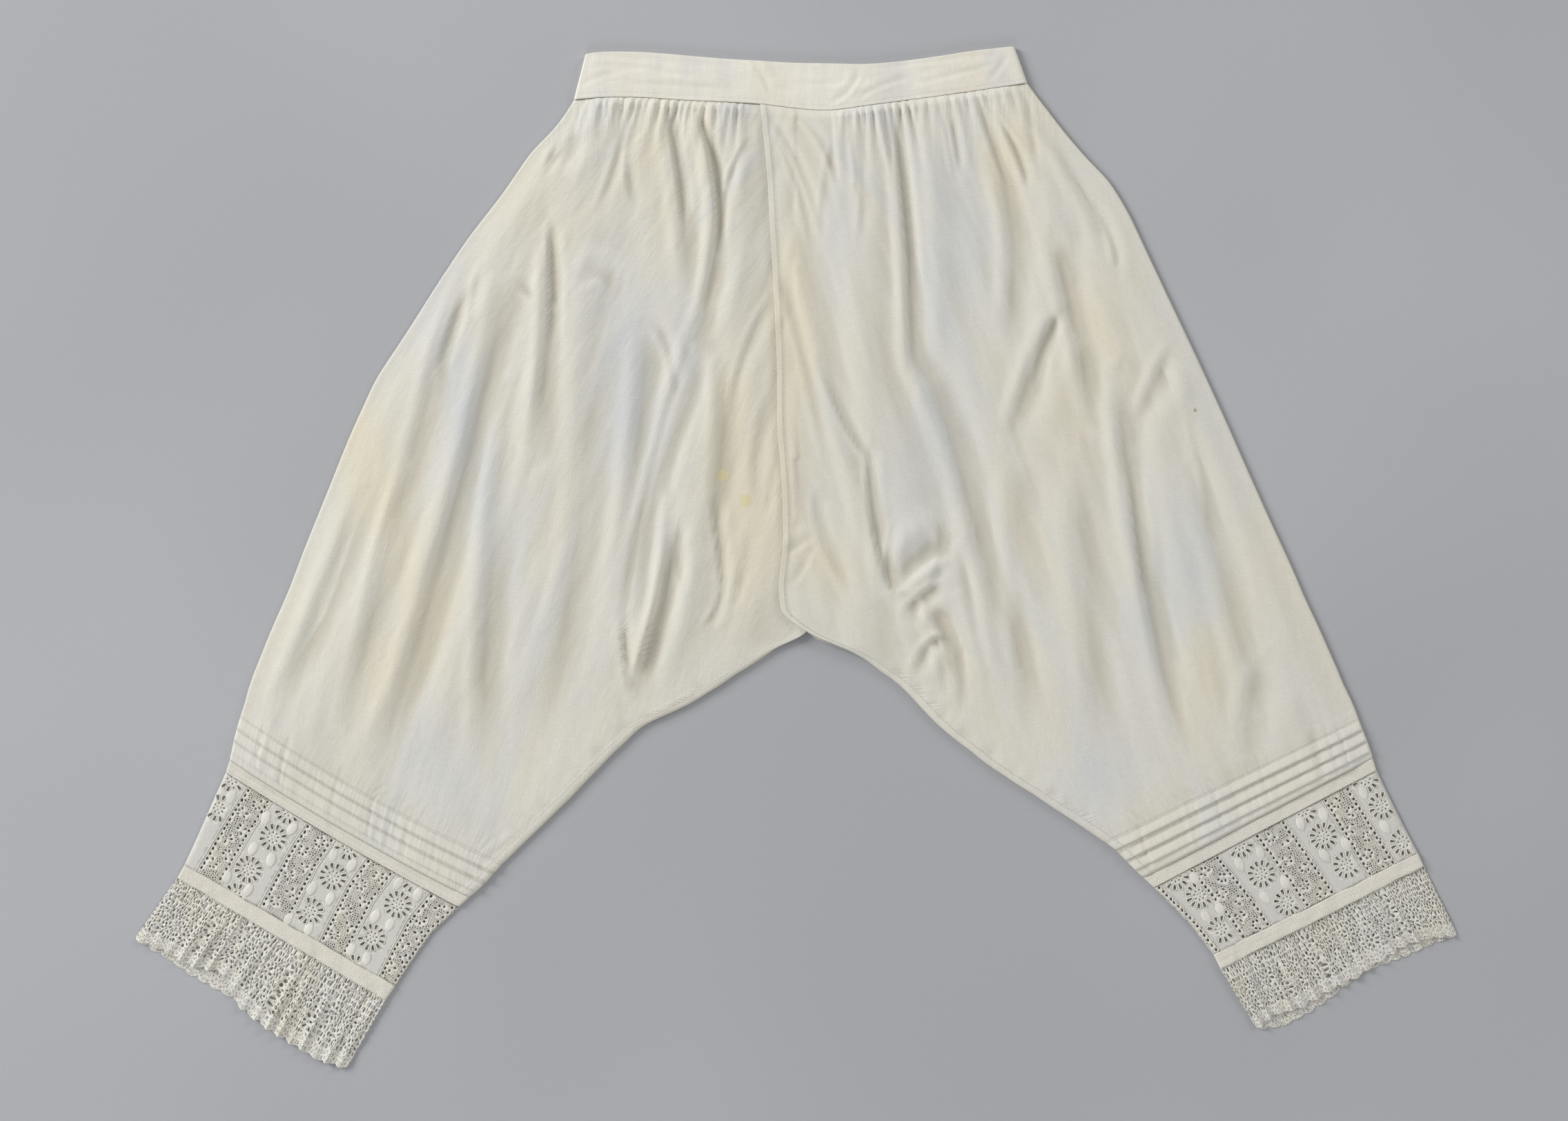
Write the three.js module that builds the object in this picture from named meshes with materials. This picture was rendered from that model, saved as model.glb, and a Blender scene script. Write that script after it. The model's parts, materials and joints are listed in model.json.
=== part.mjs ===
import * as THREE from 'three';
import { mergeVertices } from 'three/addons/utils/BufferGeometryUtils.js';

// Cotton open drawers laid flat. Millimetres, +Z up, waist toward +Y, underside on z = 0.

// Cloth walls
const SEAM = 0.3;
const BACK_WALL = 1.2;
const FRONT_WALL = 1.4;
const BAND_WALL = 2.0;
const TAPE_WALL = 1.6;
const LACE_WALL = 1.2;
const FRILL_WALL = 1.0;
const REST_Z = 1.7;
const BAND_REST_Z = 2.5;

// Middle of the laid garment in its drafting grid
const MIDDLE = [0.6, 1];

// Main folds and waist gathers
const PUFF = 1.3;
const FOLD_LIMIT = 3.3;
const GATHER_PITCH = 8.2;
const GATHER_RISE = 1.1;
const GATHER_LENGTH = 24;
const LAP_LIFT = 2.3;
const HEM_WIDTH = 5.5;
const HEM_RISE = 0.4;

// Tucks above the hem
const TUCK_DEPTH = 7.2;
const TUCK_RISE = 1.1;
const TUCK_STEP = 0.8;

// Eyelet flowers and frill ruffles
const PETALS = 12;
const PETAL_RING = 8.4;
const PETAL_LENGTH = 4.9;
const PETAL_WIDTH = 3.0;
const EYELET_MARGIN = 1.0;
const RUFFLES = 17;
const RUFFLE_RISE = 2.0;
const SCALLOP = 3.2;

const COTTON = 0xe6e2d4;
const LACE = 0xd2d0c6;

// Waistband stations from its left fold to its right fold
const WAISTBAND = [
  { top: [-161, 386], lower: [-170, 351] },
  { top: [-150, 388], lower: [-150, 353] },
  { top: [-118, 388], lower: [-118, 353] },
  { top: [-84, 385], lower: [-84, 350.5] },
  { top: [-49, 382], lower: [-49, 349] },
  { top: [-28, 381], lower: [-28, 348] },
  { top: [0, 379], lower: [0, 344] },
  { top: [26, 379], lower: [26, 342] },
  { top: [52, 378], lower: [52, 346] },
  { top: [78, 380], lower: [80, 350] },
  { top: [108, 384], lower: [112, 354] },
  { top: [138, 389], lower: [146, 359] },
  { top: [168, 392], lower: [178, 364] },
];

// Leg sections from waist to hem: the folded outer edge, and the free edge of front and back
const LEFT_LEG = [
  { fold: [-170, 351], front: [25, 343], back: [-1, 343], follow: 1, columns: 62 },
  { fold: [-174, 344], front: [25, 337], back: [-1, 336], follow: 0.9, columns: 62 },
  { fold: [-184, 330], front: [24, 324], back: [-1, 323], follow: 0.6, columns: 56 },
  { fold: [-203, 311], front: [24, 306], back: [-1, 304], follow: 0.3, columns: 40 },
  { fold: [-224, 280], front: [23, 284], back: [-1, 282], columns: 25 },
  { fold: [-252, 244], front: [23, 253], back: [-1, 251], columns: 25 },
  { fold: [-274, 211], front: [21, 218], back: [-1, 217], columns: 25 },
  { fold: [-298, 173], front: [20, 178], back: [-1, 177], columns: 25 },
  { fold: [-322, 137], front: [19, 136], back: [-1, 136], columns: 25 },
  { fold: [-342, 93], front: [19, 90], back: [-1, 90], columns: 25 },
  { fold: [-360, 48], front: [18, 42], back: [-1, 42], columns: 25 },
  { fold: [-377, 6], front: [17, -4], back: [-1, -4], columns: 25 },
  { fold: [-389, -26], front: [15, -40], back: [-1, -36], columns: 25 },
  { fold: [-398, -46], front: [9, -59], back: [-1, -60], columns: 26 },
  { fold: [-404, -60], front: [-36, -78], back: [-33, -82], columns: 24 },
  { fold: [-410, -75], front: [-81, -108], back: [-79, -112], sag: 1, columns: 22 },
  { fold: [-416, -90], front: [-118, -127], back: [-117, -129], sag: 2, columns: 17 },
  { fold: [-420, -102], front: [-150, -159], back: [-149, -160], sag: 3, columns: 17 },
  { fold: [-422, -110], front: [-179, -189], back: [-178, -190], sag: 4, columns: 17 },
  { fold: [-424, -116], front: [-207, -216], back: [-206, -217], sag: 4.5, columns: 17 },
];
const LEFT_TUCKS = [
  { fold: [-428, -129], front: [-230, -241], sag: 5 },
  { fold: [-430.5, -138.5], front: [-236.5, -248.5], sag: 4.5 },
  { fold: [-432.5, -148], front: [-244.5, -256], sag: 4 },
];
const LEFT_HEM = {
  band: { fold: [-434, -155], front: [-250, -260.5], sag: 3 },
  lace: { fold: [-437, -164.5], front: [-258, -268], sag: 2 },
  tape: { fold: [-469, -236], front: [-307, -329], sag: 0 },
  frill: { fold: [-474, -245], front: [-314, -339], sag: 0 },
};
const LEFT_LACE_SIDES = [
  { fold: [-447, -187], front: [-279, -288] },
  { fold: [-458, -212], front: [-294, -309] },
];

const RIGHT_LEG = [
  { fold: [178, 364], front: [-27, 347], back: [1, 345], follow: 1, columns: 62 },
  { fold: [183, 357], front: [-26, 341], back: [1, 339], follow: 0.9, columns: 62 },
  { fold: [193, 344], front: [-25, 328], back: [1, 327], follow: 0.6, columns: 56 },
  { fold: [206, 327], front: [-23, 310], back: [1, 309], follow: 0.3, columns: 40 },
  { fold: [223, 307], front: [-21, 287], back: [1, 286], columns: 25 },
  { fold: [241, 289], front: [-20, 262], back: [1, 262], columns: 25 },
  { fold: [256, 264], front: [-18, 232], back: [1, 232], columns: 25 },
  { fold: [269, 236], front: [-16, 195], back: [1, 195], columns: 25 },
  { fold: [286, 200], front: [-14, 150], back: [1, 150], columns: 25 },
  { fold: [306, 158], front: [-14, 102], back: [1, 102], columns: 25 },
  { fold: [329, 108], front: [-10, 54], back: [1, 54], columns: 25 },
  { fold: [348, 65], front: [-9, 12], back: [1, 12], columns: 25 },
  { fold: [365, 27], front: [-13, -22], back: [1, -20], columns: 25 },
  { fold: [380, -5], front: [-11, -43], back: [1, -46], columns: 26 },
  { fold: [391, -31], front: [12, -59], back: [12, -61], columns: 24 },
  { fold: [401, -52], front: [46, -72], back: [46, -73], columns: 22 },
  { fold: [409, -70], front: [81, -98], back: [81, -99], columns: 17 },
  { fold: [416, -86], front: [110, -129], back: [110, -130], columns: 17 },
  { fold: [421, -98], front: [147, -158], back: [147, -159], columns: 17 },
  { fold: [426, -108], front: [184, -182], back: [184, -183], columns: 17 },
  { fold: [429, -115], front: [216, -203], back: [216, -204], columns: 17 },
];
const RIGHT_TUCKS = [
  { fold: [435, -131], front: [245, -224], sag: 0 },
  { fold: [438.5, -139.5], front: [253, -232], sag: 0 },
  { fold: [441.5, -148], front: [260.5, -239.5], sag: 0 },
];
const RIGHT_HEM = {
  band: { fold: [443, -153.5], front: [267, -245.5], sag: 0 },
  lace: { fold: [446, -163], front: [275, -253], sag: 0 },
  tape: { fold: [478, -227], front: [321, -305], sag: 0 },
  frill: { fold: [482, -236], front: [326, -315], sag: 0 },
};
const RIGHT_LACE_SIDES = [
  { fold: [456, -184], front: [290, -268] },
  { fold: [467, -206], front: [306, -285] },
];

// Folds pressed into both fronts: a trough between two soft ridges, drawn as a curve
const FOLDS = [
  { from: [-97, 338], via: [-89, 296], to: [-85, 216], width: 8, depth: 0.9 },
  { from: [-76, 335], via: [-60, 259], to: [-65, 169], width: 8, depth: 1.1 },
  { from: [-65, 169], via: [-81, 131], to: [-123, 4], width: 9, depth: 0.9 },
  { from: [-187, 240], via: [-185, 190], to: [-188, 89], width: 9, depth: 1.3 },
  { from: [-168, 328], via: [-176, 314], to: [-187, 301], width: 7, depth: 1.0 },
  { from: [-240, 253], via: [-272, 163], to: [-303, 4], width: 9, depth: 1.0 },
  { from: [-245, 110], via: [-255, 57], to: [-264, 4], width: 10, depth: 0.9 },
  { from: [-216, 131], via: [-227, 78], to: [-240, 25], width: 9, depth: 0.8 },
  { from: [-330, 100], via: [-346, 41], to: [-370, -49], width: 10, depth: 0.9 },
  { from: [-54, 237], via: [-51, 163], to: [-60, 57], width: 9, depth: 0.9 },
  { from: [-60, 57], via: [-60, 10], to: [-59, -33], width: 9, depth: 0.8 },
  { from: [-89, 57], via: [-92, 41], to: [-97, 25], width: 8, depth: 0.8 },
  { from: [-131, -59], via: [-126, -96], to: [-121, -102], width: 8, depth: 1.0 },
  { from: [-310, -20], via: [-322, -75], to: [-345, -130], width: 10, depth: 0.8 },
  { from: [-200, -20], via: [-214, -90], to: [-240, -150], width: 10, depth: 0.8 },
  { from: [77, 343], via: [85, 237], to: [90, 131], width: 8, depth: 1.3 },
  { from: [152, 343], via: [160, 328], to: [171, 309], width: 7, depth: 0.9 },
  { from: [195, 330], via: [224, 282], to: [242, 237], width: 9, depth: 1.0 },
  { from: [200, 237], via: [208, 190], to: [229, 126], width: 9, depth: 1.0 },
  { from: [208, 187], via: [191, 163], to: [184, 110], width: 8, depth: 0.8 },
  { from: [155, 290], via: [160, 232], to: [158, 174], width: 9, depth: 0.8 },
  { from: [-4, 296], via: [30, 137], to: [70, 10], width: 9, depth: 1.0 },
  { from: [77, -20], via: [97, -2], to: [114, 8], width: 8, depth: 1.2 },
  { from: [102, -38], via: [115, -65], to: [118, -102], width: 8, depth: 1.1 },
  { from: [129, 63], via: [130, 33], to: [131, 4], width: 8, depth: 0.8 },
  { from: [258, 57], via: [274, -49], to: [290, -128], width: 10, depth: 1.1 },
  { from: [168, -12], via: [171, -49], to: [174, -102], width: 9, depth: 0.8 },
  { from: [348, -80], via: [354, -115], to: [359, -150], width: 9, depth: 0.8 },
];
const FOLD_STEPS = 8;

// Eyelet flower centres in the lace insertions
const LEFT_FLOWERS = [
  { strip: 'outer', x: -427.5, y: -166 },
  { strip: 'outer', x: -442, y: -192 },
  { strip: 'second', x: -384, y: -189 },
  { strip: 'second', x: -400.5, y: -214.5 },
  { strip: 'second', x: -419.5, y: -239 },
  { strip: 'third', x: -338, y: -218 },
  { strip: 'third', x: -354.5, y: -244.5 },
  { strip: 'third', x: -372.5, y: -271 },
  { strip: 'inner', x: -290.5, y: -240 },
  { strip: 'inner', x: -305, y: -266 },
  { strip: 'inner', x: -325, y: -291 },
  { strip: 'inner', x: -338.5, y: -315 },
];
const RIGHT_FLOWERS = [
  { strip: 'outer', x: 436, y: -163 },
  { strip: 'outer', x: 450, y: -190 },
  { strip: 'outer', x: 466.5, y: -218 },
  { strip: 'second', x: 387.5, y: -187 },
  { strip: 'second', x: 405, y: -213.5 },
  { strip: 'second', x: 423, y: -235.5 },
  { strip: 'third', x: 338, y: -214 },
  { strip: 'third', x: 357.5, y: -242.5 },
  { strip: 'third', x: 377.5, y: -264 },
  { strip: 'inner', x: 289, y: -236 },
  { strip: 'inner', x: 310, y: -258.5 },
  { strip: 'inner', x: 326.5, y: -285 },
];

// How far the front and the back of a frill reach, from the outer fold to the inner seam
const LEFT_FRILL = [
  { front: [-507, -292], back: [-507, -292] },
  { front: [-484, -301], back: [-486, -304] },
  { front: [-463, -313], back: [-466, -318] },
  { front: [-440, -317], back: [-447, -329] },
  { front: [-426, -344], back: [-427, -340] },
  { front: [-405, -361], back: [-407, -354] },
  { front: [-385, -373], back: [-387, -366] },
  { front: [-365, -385], back: [-367, -378] },
  { front: [-344, -391], back: [-345, -387] },
];
const RIGHT_FRILL = [
  { front: [508, -289], back: [508, -289] },
  { front: [489, -291], back: [490, -295] },
  { front: [469, -296], back: [471, -304] },
  { front: [451, -307], back: [455, -310] },
  { front: [431, -321], back: [435, -317] },
  { front: [409, -332], back: [412, -336] },
  { front: [387, -345], back: [393, -349] },
  { front: [367, -350], back: [374, -359] },
  { front: [354, -361], back: [354, -361] },
];
const FRILL_ROWS = [0, 0.3, 0.68, 1];

const { clamp, lerp, smoothstep } = THREE.MathUtils;
const TURN = Math.PI * 2;
const mix = (a, b, t) => [lerp(a[0], b[0], t), lerp(a[1], b[1], t)];
const distance = (a, b) => Math.hypot(a[0] - b[0], a[1] - b[1]);

// A value read part way along a table of stations
function station(table, column, u) {
  const at = clamp(u, 0, 1) * (table.length - 1);
  const k = Math.min(Math.floor(at), table.length - 2);
  return mix(table[k][column], table[k + 1][column], at - k);
}

// Height of the waistband's lower edge at x
function lowerEdge(x) {
  const k = WAISTBAND.findIndex(({ lower }, i) => i > 0 && lower[0] >= x);
  const next = k < 0 ? WAISTBAND.length - 1 : k;
  const [x0, y0] = WAISTBAND[next - 1].lower;
  const [x1, y1] = WAISTBAND[next].lower;
  return lerp(y0, y1, clamp((x - x0) / (x1 - x0), 0, 1));
}

// The curve of a fold as short straight steps
const FOLD_CURVES = FOLDS.map(({ from, via, to, width, depth }) => {
  const pull = [2 * via[0] - (from[0] + to[0]) / 2, 2 * via[1] - (from[1] + to[1]) / 2];
  const points = Array.from({ length: FOLD_STEPS + 1 }, (_, i) => {
    const t = i / FOLD_STEPS;
    return mix(mix(from, pull, t), mix(pull, to, t), t);
  });
  return { points, width, depth };
});

// A trough with a soft ridge on either side, q widths from its middle
const crease = (q) => 0.75 * Math.exp(-((Math.abs(q) - 2) ** 2)) - Math.exp(-q * q);

function foldHeight(x, y) {
  let height = PUFF;
  for (const { points, width, depth } of FOLD_CURVES) {
    let nearest = Infinity;
    let along = 0;
    for (let i = 0; i < FOLD_STEPS; i += 1) {
      const [ax, ay] = points[i];
      const dx = points[i + 1][0] - ax;
      const dy = points[i + 1][1] - ay;
      const t = clamp(((x - ax) * dx + (y - ay) * dy) / (dx * dx + dy * dy), 0, 1);
      const away = Math.hypot(x - ax - dx * t, y - ay - dy * t);
      if (away < nearest) {
        nearest = away;
        along = (i + t) / FOLD_STEPS;
      }
    }
    const ends = smoothstep(along, -0.1, 0.25) * (1 - smoothstep(along, 0.75, 1.1));
    height += depth * ends * crease(nearest / width);
  }
  const lap = smoothstep(Math.abs(x - 2), 26, 56) + smoothstep(-y, 60, 95);
  return clamp(height, 0, FOLD_LIMIT) * lerp(0.3, 1, clamp(lap, 0, 1));
}

// Small pleats where a leg is gathered into the waistband, flat across the lap
function gatherHeight(x, y) {
  const below = Math.max(lowerEdge(x) - y, 0);
  const open = smoothstep(Math.abs(x), 30, 40);
  const uneven = 0.75 + 0.25 * Math.sin(x * 0.19 + 1.3);
  const wave = 0.5 + 0.5 * Math.cos((TURN * x) / GATHER_PITCH + 0.8 * Math.sin(x / 23));
  return GATHER_RISE * open * uneven * wave * Math.exp(-below / GATHER_LENGTH);
}

// The right front rides over the left front where the two lap at the centre
function lapLift(x, y) {
  return LAP_LIFT * (1 - smoothstep(x, 42, 74)) * smoothstep(y, -100, -66);
}

// A closed cloth wall from rows of outside and inside points. Neighbouring rows may differ in
// how many points they have: u says how far along its row a point lies.
function wall(rows) {
  const position = [];
  const index = [];
  const place = (line) => line.map(({ u, p }) => {
    position.push(...p);
    return { u, at: position.length / 3 - 1 };
  });
  const join = (a, b) => {
    let i = 0;
    let j = 0;
    while (i < a.length - 1 || j < b.length - 1) {
      const nextA = i < a.length - 1 ? a[i + 1].u : Infinity;
      const nextB = j < b.length - 1 ? b[j + 1].u : Infinity;
      if (nextA <= nextB) {
        index.push(a[i].at, a[i + 1].at, b[j].at);
        i += 1;
      } else {
        index.push(a[i].at, b[j + 1].at, b[j].at);
        j += 1;
      }
    }
  };
  const laid = rows.map(({ outer, inner }) => ({ outer: place(outer), inner: place(inner) }));
  const last = laid.length - 1;
  for (let k = 0; k < last; k += 1) {
    join(laid[k].outer, laid[k + 1].outer);
    join(laid[k + 1].inner, laid[k].inner);
  }
  join(laid[0].inner, laid[0].outer);
  join(laid[last].outer, laid[last].inner);
  const edge = (side, end) => laid.map((row, k) => ({ u: k, at: row[side].at(end).at }));
  join(edge('outer', 0), edge('inner', 0));
  join(edge('inner', -1), edge('outer', -1));
  return outward(position, index);
}

// The wall's geometry, wound so that its faces look outward
function outward(position, index) {
  const geometry = new THREE.BufferGeometry();
  geometry.setAttribute('position', new THREE.Float32BufferAttribute(position, 3));
  const corner = (i) => new THREE.Vector3().fromArray(position, 3 * i);
  let volume = 0;
  for (let i = 0; i < index.length; i += 3) {
    const [a, b, c] = [corner(index[i]), corner(index[i + 1]), corner(index[i + 2])];
    volume += a.dot(b.cross(c));
  }
  geometry.setIndex(volume < 0 ? index.slice().reverse() : index);
  geometry.computeVertexNormals();
  return geometry;
}

// A point on a section, a distance in from its folded edge, with the section's sag down the leg
function onSection(fold, free, inset, sag = 0) {
  const length = distance(fold, free);
  const s = inset / length;
  const down = Math.sign(free[0] - fold[0]) * sag * 4 * s * (1 - s);
  const [x, y] = mix(fold, free, s);
  return [x + (down * (free[1] - fold[1])) / length, y - (down * (free[0] - fold[0])) / length];
}

// One section of a flattened leg: the back on the ground, round the fold and across the front
function flatSection(row, shape) {
  const { fold, front, back, sag } = row;
  const { columns, backStops, rest, backWall, frontWall, under, relief, trim } = shape;
  const turn = (rest + frontWall(0)) / 2;
  const backWide = distance(fold, back);
  const frontWide = distance(fold, front);
  const outer = [];
  const inner = [];
  for (const s of backStops) {
    const [x, y] = trim(onSection(fold, back, lerp(backWide, turn, s), sag));
    outer.push({ u: 0.3 * s, p: [x, y, 0] });
    inner.push({ u: 0.3 * s, p: [x, y, backWall] });
  }
  for (const [u, angle] of [[0.315, -30], [0.335, 30]]) {
    const a = THREE.MathUtils.degToRad(angle);
    const [x, y] = trim(onSection(fold, front, turn * (1 - Math.cos(a)), sag));
    outer.push({ u, p: [x, y, turn * (1 + Math.sin(a))] });
  }
  const insets = Array.from({ length: columns + 1 }, (_, i) => (
    lerp(turn, frontWide - HEM_WIDTH - 1, i / columns)));
  for (const inset of [...insets, frontWide - HEM_WIDTH, frontWide]) {
    const u = lerp(0.35, 1, (inset - turn) / (frontWide - turn));
    const free = frontWide - inset;
    const [x, y] = trim(onSection(fold, front, inset, sag));
    const z = rest + under(x, y, inset - turn, free);
    inner.push({ u, p: [x, y, z] });
    outer.push({ u, p: [x, y, z + frontWall(inset - turn) + relief(x, y, free)] });
  }
  return { outer, inner };
}

const plain = () => 0;
const BACK_STOPS = [0, 0.33, 0.67, 1];

// Where the back of a leg meets the corners of the waistband's lower edge
function waistStops({ fold, back }) {
  const stops = WAISTBAND.map(({ lower }) => (lower[0] - back[0]) / (fold[0] - back[0]));
  return [0, ...stops.filter((s) => s > 0.02 && s < 0.98).sort((a, b) => a - b), 1];
}

// A leg with its folds, gathers, centre hem, inseam and three tucks
function leg(sections, tucks, hem, lapped) {
  const top = sections[0];
  const waistLine = (x) => lerp(top.fold[1], top.front[1],
    clamp((x - top.fold[0]) / (top.front[0] - top.fold[0]), 0, 1));
  const under = (x, y, fromFold, free) => {
    const open = smoothstep(fromFold, 0, 26);
    const seam = lerp(1, smoothstep(free, 0, 22), smoothstep(-y, 55, 90));
    const hemward = 1 - smoothstep(-y - Math.abs(x) * 0.28, 0, 60) * 0.75;
    const lift = lapped ? lapLift(x, y) : 0;
    return (foldHeight(x, y) * hemward + gatherHeight(x, y)) * open * seam + lift;
  };
  const body = (row, { follow = 0, columns = 17, tuck = 0 }) => flatSection(row, {
    columns,
    backStops: follow ? waistStops(row) : BACK_STOPS,
    rest: REST_Z,
    backWall: BACK_WALL,
    frontWall: () => FRONT_WALL,
    under,
    relief: (x, y, free) => (free <= HEM_WIDTH ? HEM_RISE : 0) + tuck,
    trim: ([x, y]) => [x, y + follow * (lowerEdge(x) - SEAM - waistLine(x))],
  });
  const rows = sections.map((row) => body(row, row));
  for (const { fold, front, sag } of tucks) {
    const up = (move) => {
      const wide = distance(fold, front);
      const across = [(front[0] - fold[0]) / wide, (front[1] - fold[1]) / wide];
      const side = Math.sign(across[0]);
      const shift = ([x, y]) => [x - side * across[1] * move, y + side * across[0] * move];
      return { fold: shift(fold), front: shift(front), back: shift(front), sag };
    };
    rows.push(body(up(TUCK_DEPTH), { tuck: 0.1 }));
    rows.push(body(up(0), { tuck: TUCK_RISE }));
    rows.push(body(up(-TUCK_STEP), {}));
  }
  rows.push(body({ ...hem, back: hem.front }, {}));
  return wall(rows);
}

// A flattened ring of cloth between two lines across the leg
function ring(from, to, { columns, rows, thick }) {
  const length = distance(from.fold, to.fold);
  const gap = SEAM / length;
  return wall(Array.from({ length: rows + 1 }, (_, k) => {
    const t = lerp(gap, 1, k / rows);
    const line = {
      fold: mix(from.fold, to.fold, t),
      front: mix(from.front, to.front, t),
      back: mix(from.front, to.front, t),
      sag: lerp(from.sag, to.sag, t),
    };
    return flatSection(line, {
      columns,
      backStops: BACK_STOPS,
      rest: REST_Z,
      backWall: BACK_WALL,
      frontWall: () => thick,
      under: plain,
      relief: plain,
      trim: (p) => p,
    });
  }));
}

// The waistband: a double strip, its ends meeting at the centre of the back
function waistband() {
  const turn = (BAND_REST_Z + BAND_WALL) / 2;
  const rows = [0, 0.3, 0.6, 1].map((v) => {
    const outer = [];
    const inner = [];
    const put = (line, u, s, inset, z) => {
      const [x, y] = mix(station(WAISTBAND, 'top', s), station(WAISTBAND, 'lower', s), v);
      line.push({ u, p: [x + inset, y, z] });
    };
    const wide = 340;
    const edge = turn / wide;
    for (const s of [0.5 - 0.5 / wide, 5 / 12, 4 / 12, 3 / 12, 2 / 12, 1 / 12, edge]) {
      put(outer, 0.25 * (1 - 2 * s), s, 0, 0);
      put(inner, 0.25 * (1 - 2 * s), s, 0, BAND_WALL);
    }
    put(outer, 0.255, 0, 0.3, turn * 0.5);
    put(outer, 0.26, 0, 0.3, turn * 1.5);
    for (let i = 0; i <= 24; i += 1) {
      const s = lerp(edge, 1 - edge, i / 24);
      const swell = 0.5 * Math.sin(Math.PI * s) * Math.sin(Math.PI * v);
      const z = BAND_REST_Z + swell;
      put(inner, lerp(0.27, 0.73, i / 24), s, 0, z);
      put(outer, lerp(0.27, 0.73, i / 24), s, 0, z + BAND_WALL + 0.3 * Math.sin(s * 23 + v * 5));
    }
    put(outer, 0.74, 1, -0.3, turn * 1.5);
    put(outer, 0.745, 1, -0.3, turn * 0.5);
    for (const s of [1 - edge, 11 / 12, 10 / 12, 9 / 12, 8 / 12, 7 / 12, 0.5 + 0.5 / wide]) {
      put(outer, 0.75 + 0.5 * (1 - s), s, 0, 0);
      put(inner, 0.75 + 0.5 * (1 - s), s, 0, BAND_WALL);
    }
    return { outer, inner };
  });
  return wall(rows);
}

// One teardrop eyelet of a flower: narrow toward the flower's middle
function petal({ x, y }, k) {
  const angle = (TURN * k) / PETALS;
  const point = (along, across) => {
    const r = PETAL_RING + along * PETAL_LENGTH;
    const side = across * PETAL_WIDTH;
    return [
      x + r * Math.cos(angle) - side * Math.sin(angle),
      y + r * Math.sin(angle) + side * Math.cos(angle),
    ];
  };
  return [point(-0.5, 0), point(0.12, 0.5), point(0.5, 0.2), point(0.5, -0.2), point(0.12, -0.5)];
}

const inside = (outline, [x, y]) => outline.every(([ax, ay], i) => {
  const [bx, by] = outline[(i + 1) % outline.length];
  const wide = Math.hypot(bx - ax, by - ay);
  return ((bx - ax) * (y - ay) - (by - ay) * (x - ax)) / wide > EYELET_MARGIN;
});

// A lace insertion panel, flat, with its eyelets cut through
function insertion(hem, sides, flowers, z) {
  const length = distance(hem.lace.fold, hem.tape.fold);
  const sections = [hem.lace, ...sides, hem.tape];
  const start = mix(hem.lace.fold, sides[0].fold, (3 * SEAM) / length);
  const startFree = mix(hem.lace.front, sides[0].front, (3 * SEAM) / length);
  const outline = [start, ...sections.slice(1).map(({ fold }) => fold)];
  outline.push(...sections.slice(1).map(({ front }) => front).reverse(), startFree);
  const lining = Array.from({ length: 7 }, (_, i) => onSection(
    startFree, start, (distance(start, startFree) * (i + 1)) / 8, hem.lace.sag));
  outline.push(...lining);
  const turned = THREE.ShapeUtils.isClockWise(outline.map(([x, y]) => new THREE.Vector2(x, y)));
  const ordered = turned ? outline.slice().reverse() : outline;
  const shape = new THREE.Shape(ordered.map(([x, y]) => new THREE.Vector2(x, y)));
  for (const flower of flowers) {
    for (let k = 0; k < PETALS; k += 1) {
      const points = petal(flower, k);
      if (points.every((p) => inside(ordered, p))) {
        shape.holes.push(new THREE.Path(points.map(([x, y]) => new THREE.Vector2(x, y))));
      }
    }
  }
  const geometry = new THREE.ExtrudeGeometry(shape, { depth: LACE_WALL, bevelEnabled: false });
  geometry.deleteAttribute('normal');
  geometry.deleteAttribute('uv');
  geometry.translate(0, 0, z);
  const closed = mergeVertices(geometry, 1e-4);
  closed.computeVertexNormals();
  return closed;
}

// A gathered, scalloped frill: flat behind, ruffled in front
function frill(line, table, backColumns, frontColumns) {
  const turn = (REST_Z + FRILL_WALL) / 2;
  const rows = FRILL_ROWS.map((v) => {
    const outer = [];
    const inner = [];
    const at = (side, u) => {
      const top = mix(line.fold, line.front, u);
      const end = station(table, side, u);
      const reach = distance(top, end);
      const lobe = Math.abs(Math.sin(Math.PI * RUFFLES * u));
      const start = SEAM / reach;
      return mix(top, end, lerp(start, 1 + (SCALLOP * (lobe - 0.5)) / reach, v));
    };
    const edge = turn / 185;
    for (let i = 0; i <= backColumns; i += 1) {
      const s = lerp(1, edge, i / backColumns);
      const [x, y] = at('back', s);
      outer.push({ u: 0.3 * (1 - s), p: [x, y, 0] });
      inner.push({ u: 0.3 * (1 - s), p: [x, y, FRILL_WALL] });
    }
    for (const [u, angle] of [[0.315, -30], [0.335, 30]]) {
      const a = THREE.MathUtils.degToRad(angle);
      const [x, y] = at('front', edge * (1 - Math.cos(a)));
      outer.push({ u, p: [x, y, turn * (1 + Math.sin(a))] });
    }
    for (let i = 0; i <= frontColumns; i += 1) {
      const s = lerp(edge, 1, i / frontColumns);
      const [x, y] = at('front', s);
      const wave = 0.5 - 0.5 * Math.cos(TURN * RUFFLES * s + Math.sin(9 * s));
      const swell = smoothstep(s, 0, 0.08) * (0.7 + 0.3 * Math.sin(31 * s));
      const z = REST_Z + RUFFLE_RISE * lerp(0.15, 1, v) * wave * swell;
      inner.push({ u: 0.35 + 0.65 * s, p: [x, y, z] });
      outer.push({ u: 0.35 + 0.65 * s, p: [x, y, z + FRILL_WALL] });
    }
    return { outer, inner };
  });
  return wall(rows);
}

const group = new THREE.Group();
group.name = 'open_drawers';

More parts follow.
